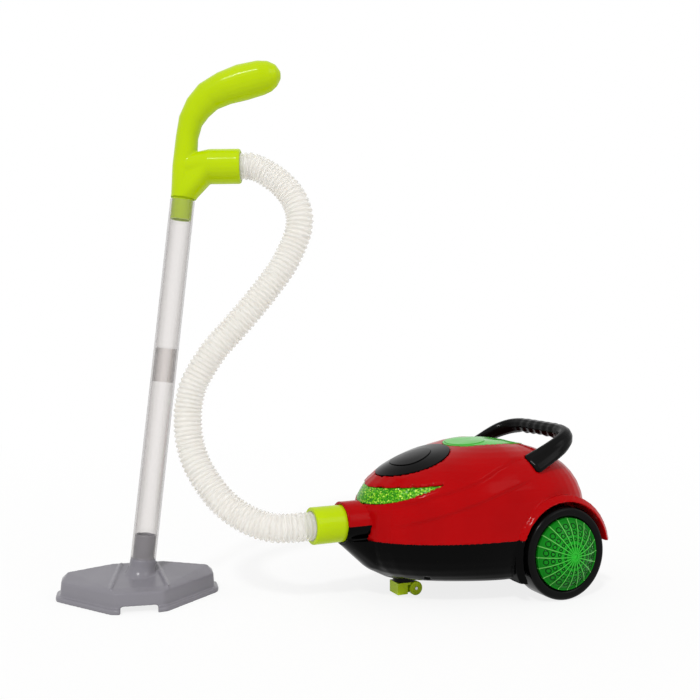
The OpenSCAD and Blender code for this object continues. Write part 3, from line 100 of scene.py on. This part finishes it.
# White paper: matt, and lit up to plain white further out, so that the toy's shadow fades away.
paper = bpy.data.materials.new("white_paper")
paper.use_nodes = True
tree = paper.node_tree
tree.nodes.clear()
matt = add(tree, "ShaderNodeBsdfDiffuse", {"Color": linear("#F6F6F5")}).outputs[0]
lit = add(tree, "ShaderNodeEmission", {"Color": linear("#FFFFFF"), "Strength": 1}).outputs[0]
where = add(tree, "ShaderNodeTexCoord").outputs["Object"]
away = add(tree, "ShaderNodeVectorMath", {0: where}, operation="LENGTH").outputs["Value"]
span = {"Value": away, "From Min": 0.45, "From Max": 1.3, "To Min": 0.82, "To Max": 1}
fade = add(tree, "ShaderNodeMapRange", span).outputs[0]
share = add(tree, "ShaderNodeMath", {0: seen_rays(tree), 1: fade}, operation="MULTIPLY").outputs[0]
mixed = add(tree, "ShaderNodeMixShader", {0: share, 1: matt, 2: lit}).outputs[0]
add(tree, "ShaderNodeOutputMaterial", {"Surface": mixed})

bm = bmesh.new()
bmesh.ops.create_grid(bm, x_segments=1, y_segments=1, size=20)
floor_mesh = bpy.data.meshes.new("floor")
bm.to_mesh(floor_mesh)
bm.free()
floor_mesh.materials.append(paper)
floor = bpy.data.objects.new("floor", floor_mesh)
floor.location.z = -0.2 * mm
scene.collection.objects.link(floor)

for name, energy, spread, heading, height in (("key", 1.5, 6, -42, 46), ("fill", 0.4, 30, 30, 34)):
    lamp = bpy.data.lights.new(name, "SUN")
    lamp.energy = energy
    lamp.angle = math.radians(spread)
    sun = bpy.data.objects.new(name, lamp)
    turn, lift = math.radians(heading), math.radians(height)
    flat = math.cos(lift)
    back = Vector((math.sin(turn) * flat, -math.cos(turn) * flat, math.sin(lift)))
    sun.rotation_euler = back.to_track_quat("Z", "Y").to_euler()
    scene.collection.objects.link(sun)


# Hose: one length of blow-moulded milky vinyl with a rib every few millimetres.
# It is pushed into the cuff at the canister and into the outlet of the wand's handle.
canister = Vector((70.6, -27.3, 0)) * mm
hose_route = [
    (-0.134, 0.001, 0.078), (-0.149, 0.005, 0.079), (-0.163, 0.014, 0.083), (-0.177, 0.024, 0.091),
    (-0.190, 0.035, 0.103), (-0.201, 0.047, 0.120), (-0.209, 0.057, 0.138), (-0.213, 0.065, 0.157),
    (-0.214, 0.069, 0.177), (-0.212, 0.071, 0.196), (-0.206, 0.070, 0.217), (-0.189, 0.065, 0.246),
    (-0.172, 0.061, 0.266), (-0.155, 0.057, 0.286), (-0.139, 0.054, 0.306), (-0.123, 0.051, 0.328),
    (-0.112, 0.050, 0.348), (-0.105, 0.049, 0.366), (-0.103, 0.050, 0.381), (-0.105, 0.053, 0.394),
    (-0.110, 0.058, 0.406), (-0.118, 0.064, 0.417), (-0.127, 0.070, 0.425), (-0.136, 0.075, 0.431),
]
cuff_seat = Vector((-0.091, 0, 0.078))
cuff_way = Vector((-1, 0, 0))
outlet_seat = Vector((-0.171956, 0.0928486, 0.434324))
outlet_way = Vector((0.908106, -0.41852, 0.0135734))
rib_r = 14.2 * mm
valley_r = 12.4 * mm
stub = 2 * rib_r
knots = [cuff_seat + cuff_way * stub] + [Vector(p) for p in hose_route]
knots.append(outlet_seat + outlet_way * stub)


def knot_way(i):
    """Direction of the route at a knot."""
    if i == 0:
        return cuff_way * (knots[1] - knots[0]).length
    if i == len(knots) - 1:
        return -outlet_way * (knots[i] - knots[i - 1]).length
    return (knots[i + 1] - knots[i - 1]) / 2


steps_in_span = 8
line = [cuff_seat]
for i in range(len(knots) - 1):
    for k in range(steps_in_span):
        t = k / steps_in_span
        line.append(
            knots[i] * (2 * t**3 - 3 * t**2 + 1) + knot_way(i) * (t**3 - 2 * t**2 + t)
            + knots[i + 1] * (3 * t**2 - 2 * t**3) + knot_way(i + 1) * (t**3 - t**2)
        )
line = [p + canister for p in line + [knots[-1], outlet_seat]]
marks = [0]
for before, after in zip(line, line[1:]):
    marks.append(marks[-1] + (after - before).length)
hose_length = marks[-1]


def hose_at(s):
    """Point of the hose's middle line at a distance along it."""
    return Vector([float(np.interp(s, marks, [p[k] for p in line])) for k in range(3)])


rib_count = 120
rings_in_rib = 6
ring_count = rib_count * rings_in_rib
half_rib = hose_length / rib_count / 2
rib_fullness = 0.75
ring_frames = []
side = Vector((0, 0, 1))
for i in range(ring_count + 1):
    s = hose_length * i / ring_count
    way = hose_at(min(hose_length, s + half_rib)) - hose_at(max(0, s - half_rib))
    way.normalize()
    side = (side - way * side.dot(way)).normalized()
    swell = (0.5 - 0.5 * math.cos(2 * math.pi * i / rings_in_rib)) ** rib_fullness
    ring_r = valley_r + (rib_r - valley_r) * swell
    ring_frames.append((hose_at(s), side.copy(), way.cross(side), ring_r))


def on_hose(u, v):
    """Corner of the hose's skin at share u along it and v round it."""
    middle, up, across, r = ring_frames[round(u * ring_count)]
    return middle + r * (math.cos(2 * math.pi * v) * up + math.sin(2 * math.pi * v) * across)


def piece_from(name, bm):
    """The finished mesh as a smooth-shaded object."""
    mesh = bpy.data.meshes.new(name)
    bm.to_mesh(mesh)
    bm.free()
    mesh.shade_smooth()
    made = bpy.data.objects.new(name, mesh)
    scene.collection.objects.link(made)
    return made


same_place = 0.001 * mm
bm = bmesh.new()
bmesh.ops.create_grid(bm, x_segments=ring_count, y_segments=28, size=0.5)
for corner in bm.verts:
    corner.co = on_hose(corner.co.x + 0.5, corner.co.y + 0.5)
bmesh.ops.remove_doubles(bm, verts=bm.verts, dist=same_place)
bmesh.ops.recalc_face_normals(bm, faces=bm.faces)
hose = piece_from("hose_skin", bm)
wall = hose.modifiers.new("wall", "SOLIDIFY")
wall.thickness = 0.9 * mm
wall.offset = -1

# Milky vinyl: half see-through, so the far ribs show faintly.
# It was blown in a mould, so it is satin rather than clear.
vinyl = bpy.data.materials.new("milky_vinyl")
vinyl.use_nodes = True
tree = vinyl.node_tree
shader = tree.nodes["Principled BSDF"]
where = add(tree, "ShaderNodeTexCoord").outputs["Object"]
clouds = {"Vector": where, "Scale": 1 / (18 * mm), "Detail": 3}
cloud = add(tree, "ShaderNodeTexNoise", clouds).outputs[0]
milks = {0: cloud, 6: linear("#F0EDE7"), 7: linear("#E6E2DA")}
tone = add(tree, "ShaderNodeMix", milks, data_type="RGBA").outputs[2]
tree.links.new(tone, shader.inputs["Base Color"])
shader.inputs["Roughness"].default_value = 0.34
shader.inputs["IOR"].default_value = 1.5
shader.inputs["Specular IOR Level"].default_value = 0.2
shader.inputs["Subsurface Weight"].default_value = 0.5
shader.inputs["Subsurface Radius"].default_value = (6 * mm, 5.5 * mm, 5 * mm)
shader.inputs["Subsurface Scale"].default_value = 1
# Painted light: a faint glow of its own brightens the vinyl, though it is no lamp.
shader.inputs["Emission Color"].default_value = linear("#FFFAF2")
shader.inputs["Emission Strength"].default_value = 0.06
shader.inputs["Alpha"].default_value = 0.42
hose.data.materials.append(vinyl)
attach(hose, "canister")
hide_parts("hose")


# Upper shell: the hood, glossy red ABS from one mould, with soft radii where the fenders and
# the snout grow out of it. Two character lines sweep back from the nose to the foot of the carry handle.
def points_of(mesh, kind="co"):
    """A mesh's points, or their normals, as rows of x, y and z."""
    rows = np.zeros((len(mesh.vertices), 3))
    mesh.vertices.foreach_get(kind, rows.ravel())
    return rows


def put_points(mesh, rows):
    """Moves a mesh's points to new places."""
    mesh.vertices.foreach_set("co", rows.ravel())
    mesh.update()


def settle(mesh, passes, inward=0.5, outward=-0.53):
    """Rounds edges without shrinking: each pass eases every point towards its neighbours, then back."""
    points = points_of(mesh)
    ends = np.zeros(len(mesh.edges) * 2, int)
    mesh.edges.foreach_get("vertices", ends)
    ends = ends.reshape(-1, 2)
    count = np.bincount(ends.ravel(), minlength=len(points))[:, None]
    for ease in [inward, outward] * passes:
        total = np.zeros_like(points)
        for k in range(3):
            total[:, k] = np.bincount(ends[:, 0], points[ends[:, 1], k], len(points))
            total[:, k] += np.bincount(ends[:, 1], points[ends[:, 0], k], len(points))
        points = points + ease * (total / count - points)
    put_points(mesh, points)


def sharpen(mesh, source, beside, real_edge=math.radians(40), spacing=0.4 * mm):
    """Draws the skin's points that lie beside a real edge of the solid onto that edge."""
    bm = bmesh.new()
    bm.from_mesh(source)
    bmesh.ops.remove_doubles(bm, verts=bm.verts, dist=same_place)
    samples = []
    for edge in bm.edges:
        if len(edge.link_faces) == 2 and edge.calc_face_angle() > real_edge:
            start, end = (corner.co for corner in edge.verts)
            steps = max(1, math.ceil(edge.calc_length() / spacing))
            samples += [start.lerp(end, k / steps) for k in range(steps + 1)]
    bm.free()
    tree = kdtree.KDTree(len(samples))
    for i, place in enumerate(samples):
        tree.insert(place, i)
    tree.balance()
    for corner in mesh.vertices:
        place, i, gap = tree.find(corner.co)
        if gap < beside:
            corner.co = place
    mesh.update()


def moulded_copy(name, node, voxel, passes, crisp=0, patch=()):
    """A copy of a solid with the small radii that a mould leaves, on an even skin.

    Points nearer than crisp to a real edge go back onto it; patch is a filling added to the solid.
    """
    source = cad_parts[node]
    bm = bmesh.new()
    bm.from_mesh(source.data)
    bmesh.ops.remove_doubles(bm, verts=bm.verts, dist=same_place)
    if patch:
        bmesh.ops.convex_hull(bm, input=[bm.verts.new(p) for p in patch])
    made = piece_from(name, bm)
    even = made.modifiers.new("even", "REMESH")
    even.mode = "VOXEL"
    even.voxel_size = voxel
    even.use_smooth_shade = True
    solved = made.evaluated_get(bpy.context.evaluated_depsgraph_get())
    skin = bpy.data.meshes.new_from_object(solved)
    made.modifiers.clear()
    made.data = skin
    skin.materials.clear()
    settle(skin, passes)
    if crisp:
        sharpen(skin, source.data, crisp)
        settle(skin, 4)
    skin.shade_smooth()
    return made


def moulding(name, tones, gloss, grain, relief, shine):
    """Moulded plastic: clouds between two tones, smudges in its gloss and the ripple of the mould."""
    made = bpy.data.materials.new(name)
    made.use_nodes = True
    tree = made.node_tree
    shader = tree.nodes["Principled BSDF"]
    where = add(tree, "ShaderNodeTexCoord").outputs["Object"]
    if tones:
        clouds = {"Vector": where, "Scale": 1 / (40 * mm), "Detail": 2}
        cloud = add(tree, "ShaderNodeTexNoise", clouds).outputs[0]
        blend = {0: cloud, 6: linear(tones[0]), 7: linear(tones[1])}
        tone = add(tree, "ShaderNodeMix", blend, data_type="RGBA").outputs[2]
        tree.links.new(tone, shader.inputs["Base Color"])
    smudges = {"Vector": where, "Scale": 1 / (14 * mm), "Detail": 4}
    smudge = add(tree, "ShaderNodeTexNoise", smudges).outputs[0]
    span = {"Value": smudge, "To Min": gloss * 0.8, "To Max": gloss * 1.3}
    rough = add(tree, "ShaderNodeMapRange", span).outputs[0]
    tree.links.new(rough, shader.inputs["Roughness"])
    ripples = {"Vector": where, "Scale": 1 / grain, "Detail": 2}
    ripple = add(tree, "ShaderNodeTexNoise", ripples).outputs[0]
    height = {"Height": ripple, "Strength": relief, "Distance": 0.1 * mm}
    bump = add(tree, "ShaderNodeBump", height).outputs[0]
    tree.links.new(bump, shader.inputs["Normal"])
    shader.inputs["Specular IOR Level"].default_value = shine
    return made


hood = moulded_copy("hood_skin", "upper_shell", 1.45 * mm, 14, 1.75 * mm)
upper_line = ([-60, -28, 1, 32, 45, 59, 79, 96], [93, 103, 111.4, 120.3, 125.7, 132, 138.1, 141.3])
lower_line = ([-60, -30, 3, 29, 61, 89, 110], [74, 83.5, 93.5, 101.8, 112.3, 120.1, 126])
upper_rise, lower_rise = 2.1, 1.7
step, run_out = 3, 24
crown_half, skirt_z = 20, 66
corners = points_of(hood.data)
out = points_of(hood.data, "normal")
x, y, z = ((corners - np.array(canister)) / mm).T
edge, ridge = (np.interp(x, *road) for road in (upper_line, lower_line))
fade = np.interp(x, [-50, -20, 78, 100], [0, 1, 1, 0])
above = np.clip((edge + run_out - z) / run_out, 0, 1)
rise = upper_rise * fade * np.clip((z - edge + step) / step, 0, 1) * above
flank = np.clip((edge - step - z) / np.maximum(edge - step - ridge, 1), 0, 1)
rise += lower_rise * fade * np.clip((z - ridge + step) / step, 0, 1) * flank
rise[(np.abs(y) < crown_half) | (out[:, 1] * y < 0) | (z < skirt_z)] = 0
put_points(hood.data, corners + out * rise[:, None] * mm)
red_abs = moulding("red_abs", ("#AE0408", "#9A0306"), gloss=0.14, grain=1.6 * mm, relief=0.03, shine=0.05)
hood.data.materials.append(red_abs)
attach(hood, "canister")
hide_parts("upper_shell")

# Lower shell: the belly, glossy black ABS, screwed up into the hood from below.
# It carries the battery bay, the speaker slots and the lower half of the snout.
belly = moulded_copy("belly_skin", "lower_shell", 1.5 * mm, 12, 1.5 * mm)
black_abs = moulding("black_abs", ("#030303", "#010101"), gloss=0.12, grain=1.6 * mm, relief=0.1, shine=0.05)
belly.data.materials.append(black_abs)
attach(belly, "canister")
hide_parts("lower_shell")

# Carry handle: satin black polypropylene, its two arms screwed to the hood from inside.
# Shallow finger grooves cross the bar, deepest underneath.
carry = moulded_copy("carry_handle_skin", "carry_handle", 0.9 * mm, 10)
bar_x, bar_z, bar_r, arms_x = 158.4, 160, 8, 140
finger, groove = 12, 1
corners = points_of(carry.data)
x, y, z = ((corners - np.array(canister)) / mm).T
reach = np.maximum(np.hypot(x - bar_x, z - bar_z), 1)
dip = groove * (0.5 - 0.5 * np.cos(2 * np.pi * y / finger)) * np.interp(np.abs(y), [30, 36], [1, 0])
dip *= np.clip(0.7 - 0.5 * (z - bar_z) / bar_r, 0, 1) * (x > arms_x)
corners[:, 0] -= mm * dip * (x - bar_x) / reach
corners[:, 2] -= mm * dip * (z - bar_z) / reach
put_points(carry.data, corners)
black_satin = moulding(
    "black_polypropylene", ("#070707", "#030303"), gloss=0.22, grain=0.9 * mm, relief=0.2, shine=0.08
)
carry.data.materials.append(black_satin)
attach(carry, "canister")
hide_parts("carry_handle")


# Button panel and power button: one polished black oval let into the hood, with the button in its middle.
# Both are black ABS; the battery door underneath is of the same black.
def dress(node, finish, crease=35):
    """A solid that is shown as it is: its finish, and smooth shading up to its real edges."""
    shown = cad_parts[node]
    shown.data.materials.clear()
    shown.data.materials.append(finish)
    shown.data.shade_smooth()
    weld = shown.modifiers.new("weld", "WELD")
    weld.merge_threshold = same_place
    split = shown.modifiers.new("edges", "EDGE_SPLIT")
    split.split_angle = math.radians(crease)


for node in ("button_panel", "power_button", "battery_door"):
    dress(node, black_abs)

# Headlamp lens: a band of green polystyrene let into the nose, held by its lip behind the hood.
# Its face is pebbled, so facets of about a millimetre throw back small sparkles, and yellow sparkles are also
# painted into its colour cell by cell as painted glints.
lens = moulded_copy("lens_skin", "headlamp_lens", 0.7 * mm, 2)
pebble, pebble_depth, pebble_swell = 2.4 * mm, 0.5, 1.6
corners = points_of(lens.data)
out = points_of(lens.data, "normal")
sink = np.array([min(1, pebble_swell * noise.voronoi(Vector(c) / pebble)[0][0]) for c in corners])
put_points(lens.data, corners - out * sink[:, None] * pebble_depth * mm)
lens_green = moulding("green_polystyrene", (), gloss=0.1, grain=1 * mm, relief=0.1, shine=0.12)
tree = lens_green.node_tree
where = add(tree, "ShaderNodeTexCoord").outputs["Object"]
# Painted glints: small cells of the colour run from deep green up to pale yellow.
facet = add(tree, "ShaderNodeTexVoronoi", {"Vector": where, "Scale": 1 / (1.3 * mm)}).outputs["Color"]
facet_tone = add(tree, "ShaderNodeSeparateColor", {0: facet}).outputs[0]
painted_sparkles = add(tree, "ShaderNodeValToRGB", {0: facet_tone})
painted_sparkles.color_ramp.elements[0].color = linear("#1A6A06")
painted_sparkles.color_ramp.elements[1].color = linear("#C2E254")
for place, code in ((0.5, "#3A960A"), (0.84, "#6CBB12")):
    painted_sparkles.color_ramp.elements.new(place).color = linear(code)
tree.links.new(painted_sparkles.outputs[0], tree.nodes["Principled BSDF"].inputs["Base Color"])
lens.data.materials.append(lens_green)
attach(lens, "canister")
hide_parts("headlamp_lens")

# Top window and light button: pale see-through green polystyrene, pressed into the crown of the hood.
# The button is a loose piece, so a fine dark gap runs round it.
window_green = moulding(
    "pale_green_polystyrene", ("#5CC84C", "#48B83A"), gloss=0.14, grain=1.2 * mm, relief=0.1, shine=0.1
)
window_green.node_tree.nodes["Principled BSDF"].inputs["Alpha"].default_value = 0.92
for node in ("top_window", "light_button"):
    dress(node, window_green)

# Rear wheels: hollow mouldings of satin black polypropylene, turning on a fixed steel rod.
# The caster's bush, the speaker and the two switches are of the same dull black.
for node in ("rear_wheel_left", "rear_wheel_right", "caster_bush", "speaker", "power_switch", "light_switch"):
    dress(node, black_satin)

# Axles, push nuts, screws and battery contacts: plated steel, bright, and dulled a little by its fine grain.
# They are pressed or driven into the mouldings, and few of them show.
steel = moulding("plated_steel", ("#C4C4C6", "#B4B4B7"), gloss=0.3, grain=0.5 * mm, relief=0.1, shine=0.5)
steel.node_tree.nodes["Principled BSDF"].inputs["Metallic"].default_value = 1
for node in (
    "rear_axle", "axle_push_nuts", "caster_axle", "caster_screw", "board_screws", "handle_screws",
    "shell_screws", "battery_door_screw", "battery_contacts", "handle_half_screws",
):
    dress(node, steel)

# Hub caps: translucent green polystyrene domes with radial ribs, pressed into the wheels.
# Between the ribs stand rows of small rings, whose darker green is painted shade. The green is lighter
# towards the middle and darker towards the rim, and a painted highlight runs along the ribs.
hub = canister + Vector((126, 0, 46)) * mm
sectors = 20
dome_r, dome_set_out, cap_r = 52.01, 47.99, 34
ring_wire = 0.5
cap_green = moulding("green_styrene", (), gloss=0.1, grain=1 * mm, relief=0.1, shine=0.08)
tree = cap_green.node_tree
where = add(tree, "ShaderNodeTexCoord").outputs["Object"]
arm = add(tree, "ShaderNodeVectorMath", {0: where, 1: hub}, operation="SUBTRACT").outputs[0]
flat = add(tree, "ShaderNodeVectorMath", {0: arm, 1: (1, 0, 1)}, operation="MULTIPLY").outputs[0]
reach = add(tree, "ShaderNodeVectorMath", {0: flat}, operation="LENGTH").outputs["Value"]
span = {"Value": reach, "From Min": 0, "From Max": cap_r * mm, "To Min": 0, "To Max": 1}
outwards = add(tree, "ShaderNodeMapRange", span).outputs[0]
greens = {0: outwards, 6: linear("#22B02B"), 7: linear("#067010")}
dome_tone = add(tree, "ShaderNodeMix", greens, data_type="RGBA").outputs[2]
way = add(tree, "ShaderNodeSeparateXYZ", {0: arm}).outputs
turn = add(tree, "ShaderNodeMath", {0: way["Z"], 1: way["X"]}, operation="ARCTAN2").outputs[0]
wave = add(tree, "ShaderNodeMath", {0: turn, 1: sectors}, operation="MULTIPLY").outputs[0]
crest = add(tree, "ShaderNodeMath", {0: wave}, operation="COSINE").outputs[0]
# Painted highlight: the green is lightened along the ribs.
span = {"Value": crest, "From Min": 0.92, "From Max": 1, "To Min": 0, "To Max": 0.5}
painted_rib_highlight = add(tree, "ShaderNodeMapRange", span).outputs[0]
greens = {0: painted_rib_highlight, 6: dome_tone, 7: linear("#8CDC78")}
tone = add(tree, "ShaderNodeMix", greens, data_type="RGBA").outputs[2]
tree.links.new(tone, tree.nodes["Principled BSDF"].inputs["Base Color"])
for node in ("hub_cap_left", "hub_cap_right"):
    dress(node, cap_green)

# The rings' deep green is painted shade, darker than the cap's own green.
ring_green_and_painted_shade = moulding(
    "deep_green_painted_shade", ("#033F08", "#023006"), gloss=0.1, grain=1 * mm, relief=0.1, shine=0.1
)
for side, wheel in ((-1, "wheel_left"), (1, "wheel_right")):
    bm = bmesh.new()
    dome = hub + Vector((0, side * dome_set_out, 0)) * mm
    for sector in range(sectors):
        turn = math.radians(360 / sectors * (sector + 0.5))
        for out_r, ring_r in ((10.5, 0.9), (16.5, 1.4), (22.5, 2), (28.5, 2.6)):
            lean = math.asin(out_r / dome_r)
            flat = math.sin(lean)
            way = Vector((flat * math.cos(turn), side * math.cos(lean), flat * math.sin(turn)))
            across = Vector((-math.sin(turn), 0, math.cos(turn)))
            along = way.cross(across)
            middle = dome + way * dome_r * mm
            for corner in bmesh.ops.create_grid(bm, x_segments=20, y_segments=6, size=0.5)["verts"]:
                a, b = 2 * math.pi * corner.co.x, 2 * math.pi * corner.co.y
                away = (ring_r + ring_wire * math.cos(b)) * mm
                lift = ring_wire * mm * math.sin(b)
                corner.co = middle + away * (math.cos(a) * across + math.sin(a) * along) + lift * way
    bmesh.ops.remove_doubles(bm, verts=bm.verts, dist=same_place)
    bmesh.ops.recalc_face_normals(bm, faces=bm.faces)
    rings = piece_from(f"cap_rings_{wheel}", bm)
    rings.data.materials.append(ring_green_and_painted_shade)
    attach(rings, wheel)

# Boards, lamps and cells: what lies inside the canister, screwed to its posts or dropped into its bay.
# Green laminate, clear epoxy lamps behind the lens, and cells in ochre sleeves.
board_green = moulding(
    "board_laminate", ("#1F6B3A", "#195A30"), gloss=0.4, grain=2 * mm, relief=0.1, shine=0.4
)
for node in ("lamp_board", "switch_board", "light_board"):
    dress(node, board_green)
epoxy = moulding("clear_epoxy", ("#F2F5EC", "#E6EADF"), gloss=0.08, grain=1 * mm, relief=0.05, shine=0.5)
dress("headlamp_leds", epoxy)
sleeve = moulding("printed_sleeve", ("#C08A24", "#A8761C"), gloss=0.25, grain=1 * mm, relief=0.1, shine=0.5)
dress("battery_cells", sleeve)

# Caster, hose cuff and spigot: lime ABS, coloured through, with a soft gloss.
# The caster turns on a screw under the nose, the cuff plugs into the snout, the spigot into the upper tube.
lime_abs = moulding("lime_abs", ("#B9D200", "#ABC600"), gloss=0.16, grain=1.4 * mm, relief=0.1, shine=0.12)
for node in ("caster_block", "caster_wheels", "hose_cuff", "tube_spigot"):
    dress(node, lime_abs)

# Wand handle: a crook in two lime ABS halves, split lengthwise and screwed together.
# Its long bends are eased, and a short outlet takes the end of the hose.
for half in ("left", "right"):
    crook = moulded_copy(f"crook_{half}", f"handle_{half}_half", 0.9 * mm, 40)
    crook.data.materials.append(lime_abs)
    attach(crook, "canister")
    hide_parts(f"handle_{half}_half")

# Tubes: drawn clear polystyrene, the upper one necked to push into the lower.
# Their walls swallow a little light, and their edges, where one looks along the wall, are also darkened in
# their colour as painted shade, so they show as dark lines.
clear = moulding("clear_polystyrene", (), gloss=0.03, grain=3 * mm, relief=0.03, shine=0.5)
tree = clear.node_tree
shader = tree.nodes["Principled BSDF"]
shader.inputs["Transmission Weight"].default_value = 1
shader.inputs["IOR"].default_value = 1.5
# Painted shade: the colour turns grey towards the edges, where one looks along the wall.
painted_edge_shade = add(tree, "ShaderNodeLayerWeight", {"Blend": 0.38}).outputs["Facing"]
greys = {0: painted_edge_shade, 6: linear("#F8F6F5"), 7: linear("#6E6967")}
tone = add(tree, "ShaderNodeMix", greys, data_type="RGBA").outputs[2]
tree.links.new(tone, shader.inputs["Base Color"])
rays = add(tree, "ShaderNodeLightPath").outputs
kinds = {0: rays["Is Shadow Ray"], 1: rays["Is Diffuse Ray"]}
lamp_light = add(tree, "ShaderNodeMath", kinds, operation="MAXIMUM").outputs[0]
through = add(tree, "ShaderNodeBsdfTransparent", {"Color": linear("#F4F3F2")}).outputs[0]
ways = {0: lamp_light, 1: shader.outputs[0], 2: through}
surface = add(tree, "ShaderNodeMixShader", ways).outputs[0]
tint = add(tree, "ShaderNodeVolumeAbsorption", {"Color": linear("#8E8A88"), "Density": 30}).outputs[0]
tree.links.new(surface, tree.nodes["Material Output"].inputs["Surface"])
tree.links.new(tint, tree.nodes["Material Output"].inputs["Volume"])
for node in ("upper_tube", "lower_tube"):
    dress(node, clear)

# Floor head: satin grey ABS from one mould, hollow underneath, with the neck that the lower tube slips over.
# The solid has a narrow slot through its back wall under the ridge; the skin closes it.
head_x, head_y, heading = -256, 97, math.radians(-12)
outer_face, inner_face, narrower = (-0.7, -0.6), (-3.4, -3), 0.99
back_corners = ((-72, 34.8, 18), (72, 34.8, 18), (-69, 26, 24), (69, 26, 24), (-25, 26, 30), (25, 26, 30))
back_wall = []
for x, y, z in back_corners:
    for dy, dz in (outer_face, inner_face):
        across, deep = x * narrower, y + dy
        back_wall.append(canister + Vector((
            head_x + across * math.cos(heading) - deep * math.sin(heading),
            head_y + across * math.sin(heading) + deep * math.cos(heading), z + dz,
        )) * mm)
head = moulded_copy("floor_head_skin", "floor_head", 1.1 * mm, 9, patch=back_wall)
grey_abs = moulding("grey_abs", ("#858389", "#79777E"), gloss=0.2, grain=1.2 * mm, relief=0.12, shine=0.2)
head.data.materials.append(grey_abs)
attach(head, "canister")
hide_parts("floor_head")
